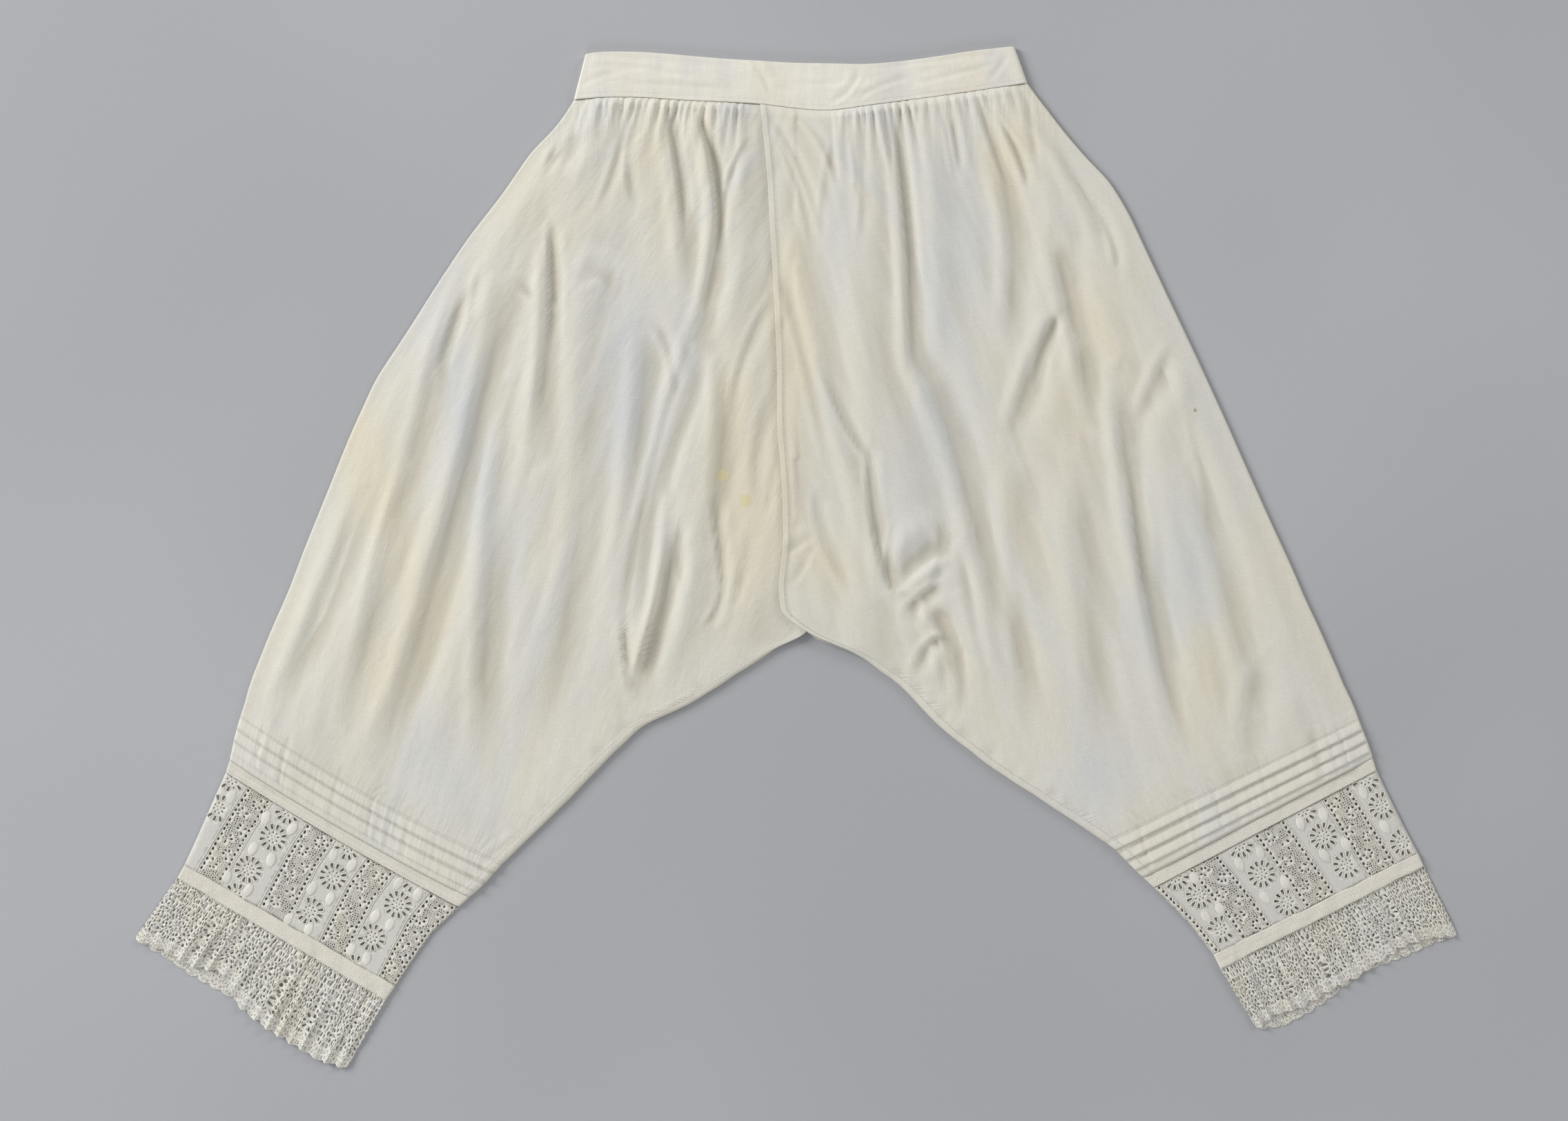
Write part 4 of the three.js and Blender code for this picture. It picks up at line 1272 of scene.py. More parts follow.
def weave_group():
    """Plain weave: fine crossing threads, with thicker slubs here and there."""
    tree, given, made = new_group(
        "Plain weave",
        {"Vector": ("vector", None), "Thread pitch": ("value", 0.0005)},
        {"Height": "value", "Slubs": "value"},
    )
    split = split_up(tree, given.outputs["Vector"])
    waves = []
    for axis in "XY":
        turns = sum_up(tree, "DIVIDE", split[axis], given.outputs["Thread pitch"])
        waves.append(sum_up(tree, "SINE", sum_up(tree, "MULTIPLY", turns, 2 * math.pi)))
    crossing = sum_up(tree, "MULTIPLY", *waves)
    slubs = []
    for stretch in ((1700, 110, 1), (90, 1500, 1)):
        scaled = add_node(tree, "ShaderNodeVectorMath",
                          {0: given.outputs["Vector"], 1: stretch}, operation="MULTIPLY")
        slubs.append(noise(tree, scaled.outputs[0], 1.0))
    thick = sum_up(tree, "ADD", *slubs)
    tree.links.new(sum_up(tree, "MULTIPLY_ADD", crossing, 0.1, thick), made.inputs["Height"])
    tree.links.new(sum_up(tree, "MULTIPLY", thick, 0.5), made.inputs["Slubs"])
    return tree


def tint_group():
    """Washed and aged cotton: broad uneven patches, drawn out down the cloth."""
    tree, given, made = new_group(
        "Washed tint",
        {"Vector": ("vector", None), "Patch size": ("value", 0.1)},
        {"Warm": "value", "Cool": "value"},
    )
    for label, stretch, moved, low, high in (
        ("Warm", (1.7, 0.3, 1), (0, 0, 0), 0.4, 0.66),
        ("Cool", (2.3, 0.35, 1), (3, 7, 0), 0.46, 0.68),
    ):
        spread = stretched(tree, given.outputs["Vector"], stretch, moved)
        scale = sum_up(tree, "DIVIDE", 1.0, given.outputs["Patch size"])
        patches = noise(tree, spread, scale, 3.0)
        tree.links.new(ramp(tree, patches, low, high), made.inputs[label])
    return tree


def stitch_group():
    """A row of stitches where a distance passes a given place."""
    tree, given, made = new_group(
        "Stitches",
        {"Distance": ("value", 0.0), "Place": ("value", 0.0), "Along": ("value", 0.0),
         "Width": ("value", 0.0003), "Pitch": ("value", 0.0016)},
        {"Stitch": "value", "Dent": "value"},
    )
    away = sum_up(tree, "ABSOLUTE",
                  sum_up(tree, "SUBTRACT", given.outputs["Distance"], given.outputs["Place"]))
    near = sum_up(tree, "DIVIDE", away, given.outputs["Width"])
    line = ramp(tree, near, 1.4, 0.5)
    turn = sum_up(tree, "DIVIDE", given.outputs["Along"], given.outputs["Pitch"])
    dash = ramp(tree, sum_up(tree, "PINGPONG", turn, 0.5), 0.06, 0.16)
    tree.links.new(sum_up(tree, "MULTIPLY", line, dash), made.inputs["Stitch"])
    tree.links.new(ramp(tree, near, 3.0, 0.6), made.inputs["Dent"])
    return tree


def net_group():
    """Twisted threads round open meshes, with finer meshes inside them where it is filled."""
    tree, given, made = new_group(
        "Net threads",
        {"Vector": ("vector", None), "Mesh size": ("value", 0.0009), "Thread": ("value", 0.17),
         "Uneven": ("value", 0.6), "Fill": ("value", 0.0)},
        {"Threads": "value"},
    )
    nets = []
    for share in (1.0, 2.6):
        scale = sum_up(tree, "DIVIDE", share, given.outputs["Mesh size"])
        cells = add_node(tree, "ShaderNodeTexVoronoi",
                         {"Vector": given.outputs["Vector"], "Scale": scale,
                          "Randomness": given.outputs["Uneven"]},
                         feature="DISTANCE_TO_EDGE", voronoi_dimensions="2D")
        near = sum_up(tree, "DIVIDE", cells.outputs["Distance"], given.outputs["Thread"])
        nets.append(ramp(tree, near, 1.35, 0.75))
    filled = sum_up(tree, "MULTIPLY", nets[1], given.outputs["Fill"])
    tree.links.new(sum_up(tree, "MAXIMUM", nets[0], filled), made.inputs["Threads"])
    return tree


def herringbone_group():
    """Slanted ridges that change direction row by row, as on woven tape."""
    tree, given, made = new_group(
        "Herringbone",
        {"Vector": ("vector", None), "Ridge pitch": ("value", 0.0013),
         "Row height": ("value", 0.0022)},
        {"Height": "value"},
    )
    uneven = noise(tree, given.outputs["Vector"], 600.0, 1.0)
    split = split_up(tree, given.outputs["Vector"])
    slant = sum_up(tree, "PINGPONG", split["Y"], given.outputs["Row height"])
    along = sum_up(tree, "ADD", split["X"], slant)
    shaken = sum_up(tree, "MULTIPLY_ADD", uneven, 0.0006, along)
    turns = sum_up(tree, "DIVIDE", shaken, given.outputs["Ridge pitch"])
    wave = sum_up(tree, "SINE", sum_up(tree, "MULTIPLY", turns, 2 * math.pi))
    tree.links.new(sum_up(tree, "MULTIPLY_ADD", wave, 0.5, 0.5), made.inputs["Height"])
    return tree


def spot_group():
    """A soft-edged stain round a place."""
    tree, given, made = new_group(
        "Stain",
        {"Vector": ("vector", None), "Centre": ("vector", None), "Radius": ("value", 0.005)},
        {"Mask": "value"},
    )
    ragged = noise(tree, given.outputs["Vector"], 260.0)
    away = add_node(tree, "ShaderNodeVectorMath",
                    {0: given.outputs["Vector"], 1: given.outputs["Centre"]},
                    operation="DISTANCE")
    share = sum_up(tree, "DIVIDE", away.outputs["Value"], given.outputs["Radius"])
    uneven = sum_up(tree, "ADD", share, sum_up(tree, "MULTIPLY", ragged, 0.8))
    tree.links.new(ramp(tree, uneven, 1.6, 1.1), made.inputs["Mask"])
    return tree


GROUPS = dict(
    weave=("Plain weave", weave_group),
    tint=("Washed tint", tint_group),
    stitch=("Stitches", stitch_group),
    net=("Net threads", net_group),
    herringbone=("Herringbone", herringbone_group),
    spot=("Stain", spot_group),
)
STAINS = [
    dict(at=(-56, 63), radius=4.6, colour=linear(216, 202, 146), strength=0.55),
    dict(at=(-38, 44), radius=5.2, colour=linear(216, 202, 146), strength=0.55),
    dict(at=(306, 113), radius=1.6, colour=linear(150, 110, 70), strength=0.6),
]


def use_group(tree, name, inputs):
    """Places a shared group in a material, made the first time that it is used."""
    label, make = GROUPS[name]
    group = bpy.data.node_groups.get(label) or make()
    return add_node(tree, "ShaderNodeGroup", inputs, node_tree=group)


def new_material(name):
    material = bpy.data.materials.new(name)
    material.use_nodes = True
    material.node_tree.nodes.clear()
    return material, material.node_tree


def shade(tree, colour, height, distance, roughness=0.92, sheen=0.12, alpha=None, strength=1.0):
    """The material's shader, with its bump."""
    bump = add_node(tree, "ShaderNodeBump",
                    {"Height": height, "Distance": distance, "Strength": strength})
    inputs = {"Base Color": colour, "Normal": bump.outputs[0], "Roughness": roughness,
              "Sheen Weight": sheen, "Sheen Roughness": 0.5, "Specular IOR Level": 0.25}
    if alpha is not None:
        inputs["Alpha"] = alpha
    shader = add_node(tree, "ShaderNodeBsdfPrincipled", inputs)
    out = add_node(tree, "ShaderNodeOutputMaterial")
    tree.links.new(shader.outputs[0], out.inputs["Surface"])


def field(tree, name):
    return add_node(tree, "ShaderNodeAttribute", attribute_name=name).outputs["Fac"]


def cotton_material(name, settings, white, seams):
    """Washed cotton: weave, random patches and patches of painted light and shade, painted shade
    in the folds, stains and rows of stitches with painted shade in their dents.

    seams lists (field, place in metres, direction, strength) for each row of stitches.
    """
    material, tree = new_material(name)
    cloth = cloth_place(tree)
    place = object_place(tree)
    weave = use_group(tree, "weave", {"Vector": cloth, "Thread pitch": settings.thread_pitch})
    tint = use_group(tree, "tint", {"Vector": cloth, "Patch size": settings.patch_size})
    # Painted light and shade: cream and bluish patches placed along the legs, added to the random
    # washed tint
    age = field(tree, "age")
    warm = sum_up(tree, "MULTIPLY_ADD", tint.outputs["Warm"], 0.45, age, clamp=True)
    colour = blend_colour(tree, warm, tuple(white), tuple(settings.cream))
    bluish_share = sum_up(tree, "MULTIPLY", age, -1.0)
    cold = sum_up(tree, "MULTIPLY_ADD", tint.outputs["Cool"], 0.45, bluish_share, clamp=True)
    colour = blend_colour(tree, cold, colour, tuple(settings.cool))
    # Painted shade: the colour darkens where the cloth lies lower than around it, in the folds
    colour = blend_colour(tree, sum_up(tree, "MULTIPLY", field(tree, "painted_shade"), 0.5),
                          colour, tuple(settings.painted_shade))
    for stain in STAINS:
        centre = (*(np.array(stain["at"]) - MIDDLE) * MM, 4 * MM)
        spot = use_group(tree, "spot", {"Vector": place, "Centre": centre,
                                        "Radius": stain["radius"] * MM})
        mask = sum_up(tree, "MULTIPLY", spot.outputs[0], stain["strength"])
        colour = blend_colour(tree, mask, colour, stain["colour"])
    slubs = ramp(tree, weave.outputs["Slubs"], 0.3, 0.7, 0.955, 1.03)
    colour = blend_colour(tree, 1.0, colour, slubs, "MULTIPLY")

    crumple = noise(tree, stretched(tree, cloth, (1, 0.3, 1)), 110.0, 4.0, 0.55)
    height = sum_up(tree, "MULTIPLY_ADD", crumple, 3.6, weave.outputs["Height"])
    for drawn_up, over, stretch in (
        ("gather", place, (1, 0.12, 1)), ("pucker", cloth, (1, 0.12, 1)),
        ("ruck", cloth, (0.16, 1.7, 1)),
    ):
        rucks = noise(tree, stretched(tree, over, stretch), 330.0)
        pleated = sum_up(tree, "MULTIPLY", field(tree, drawn_up), 8.0)
        height = sum_up(tree, "MULTIPLY_ADD", rucks, pleated, height)
    split = split_up(tree, cloth)
    for name_of_field, spot, axis, strength in seams:
        row = use_group(tree, "stitch", {
            "Distance": field(tree, name_of_field), "Place": spot, "Along": split[axis],
        })
        height = sum_up(tree, "MULTIPLY_ADD", row.outputs["Dent"], -2.0 * strength, height)
        height = sum_up(tree, "MULTIPLY_ADD", row.outputs["Stitch"], 2.5 * strength, height)
        shadow = sum_up(tree, "MULTIPLY", row.outputs["Dent"], 0.12 * strength)
        colour = blend_colour(tree, shadow, colour, tuple(settings.painted_shade))
    shade(tree, colour, height, 0.00016)
    return material


def tape_material(name, settings):
    """Soft woven tape with slanted ridges and a fuzzy nap, with painted shade in the valleys
    between its ridges and painted highlight on their tops.
    """
    material, tree = new_material(name)
    cloth = cloth_place(tree)
    place = object_place(tree)
    tint = use_group(tree, "tint", {"Vector": place, "Patch size": 0.03})
    ridges = use_group(tree, "herringbone", {"Vector": cloth})
    fuzz = noise(tree, place, 900.0, 3.0, 0.7)
    colour = blend_colour(tree, sum_up(tree, "MULTIPLY", tint.outputs["Cool"], 0.4),
                          tuple(settings.tape), tuple(settings.white))
    # Painted shade and highlight: the colour darkens in the valleys between ridges and lightens on
    # their tops
    painted_ridge_shade = ramp(tree, ridges.outputs["Height"], 0.0, 0.6, 0.93, 1.02)
    colour = blend_colour(tree, 1.0, colour, painted_ridge_shade, "MULTIPLY")
    height = sum_up(tree, "MULTIPLY_ADD", ridges.outputs["Height"], 2.0, fuzz)
    shade(tree, colour, height, 0.00014, roughness=0.96, sheen=0.3)
    return material


def lawn_material(name, settings):
    """Sheer lawn behind the embroidery, opaque and white where thread is worked into it."""
    material, tree = new_material(name)
    place = object_place(tree)
    weave = use_group(tree, "weave", {"Vector": place, "Thread pitch": 0.0006})
    worked = field(tree, "thread")
    colour = blend_colour(tree, worked, tuple(settings.lawn), tuple(settings.thread))
    slubs = ramp(tree, weave.outputs["Slubs"], 0.3, 0.7, 0.95, 1.03)
    colour = blend_colour(tree, 1.0, colour, slubs, "MULTIPLY")
    alpha = ramp(tree, worked, 0.0, 0.7, 0.88, 1.0)
    shade(tree, colour, weave.outputs["Height"], 0.00012, alpha=alpha)
    return material


def net_material(name, settings, net_colour, mesh_size, thread=0.19, stretch=(1, 1, 1), sheer=0.3,
                 border=None):
    """Net lace: meshes with thicker threads round the larger openings and dense patches.

    border is how far down the lace its fine edge begins, in metres.
    """
    material, tree = new_material(name)
    cloth = cloth_place(tree)
    meshes = stretched(tree, cloth, stretch)
    fill = ramp(tree, noise(tree, meshes, 130.0, 1.0), 0.47, 0.58)
    if border is not None:
        edge = ramp(tree, split_up(tree, cloth)["Y"], border, border + 0.003)
        fill = sum_up(tree, "MAXIMUM", fill, edge)
    net = use_group(tree, "net", {"Vector": meshes, "Mesh size": mesh_size, "Thread": thread,
                                  "Uneven": 0.75, "Fill": fill})
    tint = use_group(tree, "tint", {"Vector": object_place(tree), "Patch size": 0.03})
    worked = ramp(tree, field(tree, "thread"), 0.15, 0.75)
    threads = sum_up(tree, "MAXIMUM", net.outputs[0], worked)
    colour = blend_colour(tree, sum_up(tree, "MULTIPLY", tint.outputs["Warm"], 0.5),
                          tuple(net_colour), tuple(settings.tape))
    colour = blend_colour(tree, sum_up(tree, "MULTIPLY", worked, 0.7), colour,
                          tuple(settings.thread))
    alpha = ramp(tree, threads, 0.0, 1.0, sheer, 1.0)
    shade(tree, colour, threads, 0.0003, alpha=alpha)
    return material


def thread_material(name, settings):
    """White embroidery thread laid side by side."""
    material, tree = new_material(name)
    place = object_place(tree)
    strands = noise(tree, place, 1500.0)
    patches = ramp(tree, noise(tree, place, 60.0), 0.35, 0.65)
    colour = blend_colour(tree, patches, tuple(settings.thread), tuple(settings.white))
    shade(tree, colour, strands, 0.0002, roughness=0.7, sheen=0.2)
    return material


def floor_material(settings):
    """Painted grey floor with faint unevenness."""
    material, tree = new_material("studio_floor")
    place = object_place(tree)
    broad = ramp(tree, noise(tree, place, 1.6), 0.3, 0.7)
    marks = noise(tree, stretched(tree, place, (30, 260, 1)), 5.0, 3.0)
    darker = tuple(0.9 * value for value in settings.floor)
    colour = blend_colour(tree, broad, tuple(settings.floor), darker)
    shade(tree, colour, marks, 0.0001, roughness=0.75, sheen=0.0)
    return material


# ---------------------------------------------------------------------------
# Settings, one group for the cloth, one for the lace and one for the studio
# ---------------------------------------------------------------------------


def colour_setting(name, description, value):
    return bpy.props.FloatVectorProperty(
        name=name, description=description, default=value, size=3, min=0.0, max=1.0,
        subtype="COLOR")


def length_setting(name, description, value):
    return bpy.props.FloatProperty(
        name=name, description=description, default=value, min=0.0, precision=5, unit="LENGTH",
        subtype="DISTANCE")


class ClothSettings(bpy.types.PropertyGroup):
    """Sizes and colours of the cotton and the tapes"""

    cotton_thickness: length_setting("Cotton thickness", "Thickness of the leg cotton", 0.0006)
    band_thickness: length_setting("Band thickness", "Thickness of the double waistband", 0.0015)
    tape_thickness: length_setting("Tape thickness", "Thickness of hem bands and tapes", 0.0010)
    thread_pitch: length_setting("Thread pitch", "Distance between threads", 0.0006)
    patch_size: length_setting("Patch size", "Size of the washed patches", 0.09)
    white: colour_setting("White", "Main cotton colour", linear(216, 213, 203))
    band: colour_setting("Band white", "Waistband colour", linear(230, 226, 215))
    # Cream and Cool white also colour the patches of painted light and shade on the legs
    cream: colour_setting("Cream", "Colour of the aged patches", linear(219, 212, 192))
    cool: colour_setting("Cool white", "Colour of the bluish patches", linear(205, 206, 204))
    # Painted shade: the darker colour blended into the folds and into the dents of stitch rows
    painted_shade: colour_setting("Hollow", "Colour deep in the folds", linear(176, 169, 150))
    tape: colour_setting("Tape", "Colour of hem bands and tapes", linear(231, 226, 213))


class LaceSettings(bpy.types.PropertyGroup):
    """Sizes and colours of the eyelet embroidery, the net lace and the frills"""

    lace_thickness: length_setting("Lace thickness", "Thickness of lawn and net", 0.00035)
    rim_thickness: length_setting("Rim thickness", "Thickness of an overcast rim", 0.0008)
    net_mesh: length_setting("Net mesh", "Size of a mesh of the net", 0.0017)
    thread: colour_setting("Thread", "Embroidery thread", linear(214, 212, 202))
    lawn: colour_setting("Lawn", "Sheer ground of the eyelet strips", linear(216, 214, 207))
    net: colour_setting("Net", "Frill lace", linear(216, 214, 206))
    strip_net: colour_setting("Strip net", "Net strips of the insertions", linear(203, 200, 192))
    white: colour_setting("White", "Brightest thread", linear(225, 222, 212))
    tape: colour_setting("Aged net", "Warm patches of the net", linear(216, 208, 188))


class StudioSettings(bpy.types.PropertyGroup):
    """The floor, the light and the camera"""

    floor: colour_setting("Floor", "Colour of the floor", linear(176, 177, 180))
    camera_height: length_setting("Camera height", "Height of the camera over the floor", 2.0)
    view_width: length_setting("View width", "Width of floor that the camera sees", 1.2042)


# ---------------------------------------------------------------------------
# Operators
# ---------------------------------------------------------------------------


class DRAWERS_OT_waistband(bpy.types.Operator):
    """Sews the double waistband, with its pressed creases and topstitching"""

    bl_idname = "drawers.waistband"
    bl_label = "Waistband"

    def execute(self, context):
        cloth = context.scene.drawers_cloth
        material = cotton_material("waistband_cotton", cloth, cloth.band,
                                   [("hem", 0.0035, "X", 0.22)])
        grid = waistband_cloth()
        piece = sew_grid("waistband_double_cotton", grid, material, cloth.band_thickness, 1)
        finish_piece(piece, "cotton", "waistband")
        return {"FINISHED"}


class DRAWERS_OT_legs(bpy.types.Operator):
    """Sews both legs, with gathers, folds, centre hems, felled inseams and tucks"""

    bl_idname = "drawers.legs"
    bl_label = "Legs"

    def execute(self, context):
        cloth = context.scene.drawers_cloth
        seams = [("hem", 0.0047, "Y", 0.6), ("tuck", 0.0003, "X", 0.5)]
        material = cotton_material("leg_cotton", cloth, cloth.white, seams)
        for name, side in SIDES.items():
            grid = leg_cloth(side)
            # Mask of the painted shade in the folds, kept as a point attribute
            low = painted_fold_shade(grid["z"], grid["front_from"])
            piece = sew_grid(f"{name}_leg_cotton", grid, material, cloth.cotton_thickness,
                             fields=dict(painted_shade=low, age=grid["age"], gather=grid["gather"],
                                         pucker=grid["pucker"], ruck=grid["ruck"]))
            finish_piece(piece, "cotton", f"leg_{name}")
        return {"FINISHED"}


class DRAWERS_OT_tapes(bpy.types.Operator):
    """Sews the hem bands above the lace and the tapes above the frills"""

    bl_idname = "drawers.tapes"
    bl_label = "Hem bands and tapes"

    def execute(self, context):
        cloth = context.scene.drawers_cloth
        material = tape_material("woven_tape", cloth)
        for name, side in SIDES.items():
            hem = side["hem"]
            for part, start, end, rows, uneven, dip, lap, wavy in (
                ("hem_band", hem["band"], hem["lace"], 8, 0.16, 0.0, 0.0, 0.0),
                ("tape", hem["tape"], hem["frill"], 7, 0.4, 0.9 if name == "right" else 0.0,
                 0.6, 0.5),
            ):
                grid = ring_cloth(start, end, TAPE_WALL, rows, uneven, dip, lap, wavy)
                piece = sew_grid(f"{name}_{part}_cloth", grid, material, cloth.tape_thickness, 1)
                finish_piece(piece, "tape", f"{part}_{name}")
                wide = 2 * np.linalg.norm(np.subtract(start["fold"], start["front"])) * MM
        return {"FINISHED"}


class DRAWERS_OT_insertions(bpy.types.Operator):
    """Sews the lace panels: eyelet strips and net strips side by side, front and back"""

    bl_idname = "drawers.insertions"
    bl_label = "Lace insertions"

    def execute(self, context):
        lace = context.scene.drawers_lace
        lawn = lawn_material("sheer_lawn", lace)
        net = net_material("net_lace", lace, lace.strip_net, lace.net_mesh, 0.21, (1, 0.9, 1), 0.1)
        for name, side in SIDES.items():
            for face, z in (("front", LACE_Z), ("back", LACE_BACK_Z)):
                piece = self.panel(name, side, face, z, lace, (lawn, net))
                finish_piece(piece, "lace", f"insertion_{name}_{face}")
        return {"FINISHED"}

    def panel(self, name, side, face, z, lace, materials):
        """One side of a leg's lace panel."""
        panel = LacePanel(side)
        points, faces, threads, picks = [], [], [], []
        count = 0
        for k, (kind, left, right) in enumerate(strips_of(side)):
            outline = strip_outline(panel, left, right)
            if kind == "eyelet":
                down = np.array([math.cos(panel.angle), math.sin(panel.angle)])
                moved = LACE_BACK_SHIFT * down * (face == "back")
                holes, _, middles = eyelet_holes(outline, side, panel.angle, moved)
                step = 2.4
            else:
                seed = side["seed"] + 7 * k + (100 if face == "back" else 0)
                made = net_holes(panel, left, right, seed)
                holes = [hole for hole in made if inside(outline, hole).all()]
                middles = []
                step = 3.0
            fill = spread_points(outline, step, holes, side["seed"] + k)
            flat, triangles, edging = cut_cloth(outline, holes, fill)
            worked = edging.astype(float)
            for middle in middles:
                worked = np.maximum(worked, np.hypot(*(flat - np.asarray(middle)).T) < 6.0)
            points.append(flat)
            threads.append(worked)
            faces.extend([[count + i for i in t] for t in triangles])
            picks.extend([0 if kind == "eyelet" else 1] * len(triangles))
            count += len(flat)
        flat = np.concatenate(points)
        worked = np.concatenate(threads)
        height = panel_height(panel, flat, face, z)
        solid = placed(flat[:, 0], flat[:, 1], height + 0.12 * worked * (face == "front"))
        if face == "front":
            solid[:, 2] += lace.lace_thickness
        faces = face_up(solid, faces, np.ones(len(solid), bool))
        if face == "back":
            faces = [f[::-1] for f in faces]
        uv = turned(flat, -panel.angle) * MM
        piece = new_mesh(f"{name}_lace_panel_{face}", solid, faces, uv,
                         dict(thread=worked), materials, picks)
        thicken(piece, lace.lace_thickness)
        return piece


def panel_height(panel, flat, face, z):
    """Height of a lace panel: flat, curving down at the outer fold and at the inner seam."""
    from_fold = np.full(len(flat), np.inf)
    from_seam = np.full(len(flat), np.inf)
    for found, line in ((from_fold, panel.fold), (from_seam, panel.front)):
        for a, b in zip(line, line[1:]):
            d = b - a
            t = np.clip(((flat - a) @ d) / (d @ d), 0, 1)
            found[:] = np.minimum(found, np.hypot(*(flat - a - d * t[:, None]).T))
    close = np.minimum(from_fold, from_seam)
    round_off = 1 - np.sqrt(1 - (1 - np.clip(close / 2.2, 0, 1)) ** 2)
    if face == "back":
        return z + 0.25 * round_off
    ripple = 0.16 * rough(flat[:, 0], flat[:, 1], (11, 11), 31)
    return z + ripple * np.clip(close / 8, 0, 1) - 0.95 * round_off


def rim_model(thickness):
    """An overcast rim round one petal eyelet, modelled from a ring."""
    deselect_all()
    bpy.ops.mesh.primitive_torus_add(
        major_segments=16, minor_segments=6, major_radius=PETAL_WIDTH / 2 * MM,
        minor_radius=thickness / 2, location=(0, 0, 0))
    rim = bpy.context.object
    half = PETAL_WIDTH / 2 * MM
    bpy.ops.object.mode_set(mode="EDIT")
    for low, high, move, narrow in ((-2.0, -0.8, -0.72, 0.45), (-0.8, -0.5, -0.52, 0.62),
                                    (-0.5, -0.1, -0.28, 0.76), (-0.1, 0.3, 0.04, 0.95),
                                    (0.3, 0.6, 0.36, 1.05), (0.6, 2.0, 0.7, 1.02)):
        bpy.ops.mesh.select_all(action="DESELECT")
        bpy.ops.object.mode_set(mode="OBJECT")
        middle = [v for v in rim.data.vertices if low * half <= v.co.x < high * half]
        for vertex in middle:
            vertex.select = True
        bpy.ops.object.mode_set(mode="EDIT")
        bpy.ops.transform.resize(value=(1, narrow, 1), center_override=(0, 0, 0))
        bpy.ops.transform.translate(value=(move * half, 0, 0))
    bpy.ops.mesh.select_all(action="SELECT")
    bpy.ops.mesh.normals_make_consistent(inside=False)
    bpy.ops.object.mode_set(mode="OBJECT")
    return rim


def leaf_model():
    """A padded satin-stitch leaf with a groove along its middle, modelled from a ball."""
    deselect_all()
    bpy.ops.mesh.primitive_uv_sphere_add(segments=14, ring_count=10, radius=MM, location=(0, 0, 0),
                                         rotation=(0, math.pi / 2, 0))
    leaf = bpy.context.object
    bpy.ops.object.transform_apply(location=True, rotation=True, scale=True)
    bpy.ops.object.mode_set(mode="EDIT")
    bpy.ops.mesh.select_all(action="SELECT")
    bpy.ops.transform.resize(value=(6.6, 3.5, 0.6), center_override=(0, 0, 0))
    for reach, narrow in ((3.2, 0.85), (4.8, 0.72)):
        bpy.ops.mesh.select_all(action="DESELECT")
        bpy.ops.object.mode_set(mode="OBJECT")
        for vertex in leaf.data.vertices:
            vertex.select = abs(vertex.co.x) > reach * MM
        bpy.ops.object.mode_set(mode="EDIT")
        bpy.ops.transform.resize(value=(1, narrow, 1), center_override=(0, 0, 0))
    bpy.ops.mesh.select_all(action="DESELECT")
    bpy.ops.object.mode_set(mode="OBJECT")
    for vertex in leaf.data.vertices:
        near_middle = abs(vertex.co.y) < 0.5 * MM and abs(vertex.co.x) < 5.6 * MM
        vertex.select = near_middle and vertex.co.z > 0
    bpy.ops.object.mode_set(mode="EDIT")
    bpy.ops.transform.translate(value=(0, 0, -0.55 * MM))
    bpy.ops.mesh.select_all(action="SELECT")
    bpy.ops.mesh.normals_make_consistent(inside=False)
    bpy.ops.object.mode_set(mode="OBJECT")
    return leaf


def copies(model, places):
    """Copies of a model's mesh, each turned about z and moved, as points and faces."""
    mesh = model.data
    points = np.empty(len(mesh.vertices) * 3)
    mesh.vertices.foreach_get("co", points)
    points = points.reshape(-1, 3)
    faces = [list(face.vertices) for face in mesh.polygons]
    all_points, all_faces = [], []
    for number, (spot, turn, size) in enumerate(places):
        c, s = math.cos(turn), math.sin(turn)
        spin = np.array([[c, s, 0], [-s, c, 0], [0, 0, 1]])
        all_points.append((points * size) @ spin + spot)
        all_faces.extend([[i + number * len(points) for i in face] for face in faces])
    return np.concatenate(all_points), all_faces


class DRAWERS_OT_embroidery(bpy.types.Operator):
    """Works the overcast rims and satin leaves on the eyelet strips"""

    bl_idname = "drawers.embroidery"
    bl_label = "Eyelet embroidery"

    def execute(self, context):
        lace = context.scene.drawers_lace
        material = thread_material("embroidery_thread", lace)
        rim = rim_model(lace.rim_thickness)
        leaf = leaf_model()
        for name, side in SIDES.items():
            panel = LacePanel(side)
            rims, leaves = self.places(side, panel)
            parts = [copies(rim, rims), copies(leaf, leaves)]
            points = np.concatenate([part[0] for part in parts])
            shift = len(parts[0][0])
            faces = parts[0][1] + [[i + shift for i in face] for face in parts[1][1]]
            piece = new_mesh(f"{name}_eyelet_embroidery", points, faces, materials=[material])
            finish_piece(piece, "lace")
        for model in (rim, leaf):
            bpy.data.objects.remove(model)
        return {"FINISHED"}

    def places(self, side, panel):
        """Where the rims and the leaves go, in metres."""
        rims, leaves = [], []
        draw = np.random.default_rng(side["seed"])
        top = LACE_Z + 0.35
        for kind, left, right in strips_of(side):
            if kind != "eyelet":
                continue
            _, spots, _ = eyelet_holes(strip_outline(panel, left, right), side, panel.angle)
            for spot, turn in spots:
                at = np.array([*(spot - MIDDLE), top + 0.12]) * MM
                rims.append((at, turn, draw.uniform(0.95, 1.05)))
        for spot in side["leaves"]:
            at = np.array([*(np.array(spot) - MIDDLE), top + 0.1]) * MM
            leaves.append((at, panel.angle + draw.uniform(-0.18, 0.18), draw.uniform(0.92, 1.06)))
        return rims, leaves


